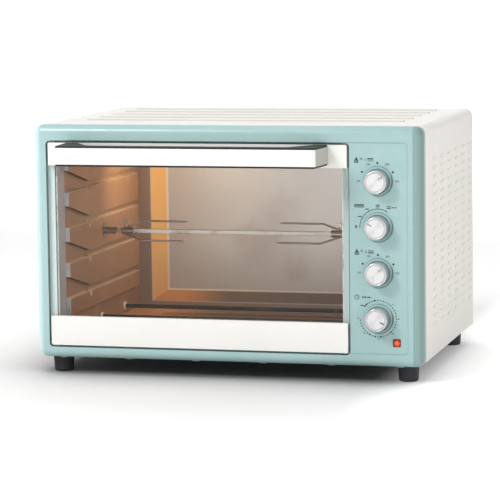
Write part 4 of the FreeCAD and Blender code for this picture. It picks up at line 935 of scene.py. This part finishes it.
def lights():
    world = bpy.data.worlds.new("studio")
    bpy.context.scene.world = world
    world.use_nodes = True
    sky = world.node_tree.nodes["Background"]
    sky.inputs["Color"].default_value = (1, 1, 1, 1)
    sky.inputs["Strength"].default_value = 0.50
    area("key", (-1.5, -2.4, 2.3), (0, 0, 0.15), 1.1, 62)
    area("fill", (2.6, -1.2, 1.2), (0, 0, 0.15), 1.8, 11)
    area("low", (-0.5, -2.4, 0.12), (0, -0.2, 0.06), 0.9, 2)
    area("top", (0.1, 0.3, 2.6), (0, 0, 0.3), 1.6, 7.5)
    for place, target, power, tone in (
            ((-0.06, FRONT + 0.14, 0.30), (-0.25, 0.06, 0.08), 0.09, (1.0, 0.74, 0.5)),
            ((0.10, FRONT + 0.05, 0.28), (0.13, 0.25, 0.10), 0.62, (0.86, 0.95, 1.0)),
            ((-0.15, 0.06, 0.30), (-0.22, 0.24, 0.2), 0.26, (1.0, 0.8, 0.52))):
        inner = area("cavity_glow", place, target, 0.1, power, tone)
        inner.visible_camera = False
        inner.visible_glossy = False


def paper_look():
    """White paper: a painted shadow close under the oven, and a glow that keeps it bright behind
    the oven, with painted light around and beside it.
    """
    look = Look("paper", srgb(250, 250, 250), 0.9)
    look.mottle(srgb(246, 246, 247), 3, 0.4, 0.7, 0.5)
    # Painted shadow close under the oven.
    look.crevice_shade(srgb(38, 38, 40), 170, 0.84, 0.88, 0.3)
    look.set(Emission_Color=(1, 1, 1, 1))
    x, y = look.coordinate(X), look.coordinate(Y)
    # The paper glows: behind, to keep the backdrop white; around and beside the oven, as painted
    # light that lifts the oven's cast shadow.
    behind = look.curve(y, 0.8, 3.0, 0, 0.55, smooth=True)
    around = look.curve(look.distance(x, y), 0.36, 0.7, 0, 0.14, smooth=True)
    beside = look.curve(x, 0.20, 0.32, 0, 0.5, smooth=True)
    glow = look.math("MAXIMUM", behind, look.math("MAXIMUM", around, beside))
    look.join(glow, look.bsdf.inputs["Emission Strength"])
    return look


def sweep():
    """The paper: a floor that curves up into a wall behind."""
    near, deep, bend, wide, tall = -6.0, 3.4, 0.8, 7.0, 3.2
    line = [(near, 0.0), (0.0, 0.0), (deep, 0.0)]
    for step in range(1, 13):
        angle = math.radians(7.5 * step)
        line.append((deep + bend * math.sin(angle), bend - bend * math.cos(angle)))
    line.append((deep + bend, tall))
    shape = bmesh.new()
    rows = [[shape.verts.new((side * wide, y, z)) for side in (-1, 1)] for y, z in line]
    for a, b in zip(rows, rows[1:]):
        shape.faces.new([a[0], a[1], b[1], b[0]])
    made = bpy.data.objects.new("sweep", to_mesh("sweep", shape))
    bpy.context.scene.collection.objects.link(made)
    for face in made.data.polygons:
        face.use_smooth = True
    dress(made, paper_look().done())


def camera():
    place = (0.9629, -3.65936, 0.61863)
    yaw, pitch, roll = 0.2606, 0.1189, -0.0125
    forward = Vector((-math.sin(yaw) * math.cos(pitch), math.cos(yaw) * math.cos(pitch),
                      -math.sin(pitch)))
    level = Vector((math.cos(yaw), math.sin(yaw), 0))
    upright = level.cross(forward)
    right = level * math.cos(roll) + upright * math.sin(roll)
    up = upright * math.cos(roll) - level * math.sin(roll)
    data = bpy.data.cameras.new("camera")
    data.sensor_width = 36
    data.lens = 181.39
    made = bpy.data.objects.new("camera", data)
    bpy.context.scene.collection.objects.link(made)
    turn = Matrix((right, up, -forward)).transposed().to_4x4()
    made.matrix_world = Matrix.Translation(place) @ turn
    bpy.context.scene.camera = made


lights()
sweep()
camera()
bpy.context.scene.view_settings.view_transform = "Standard"
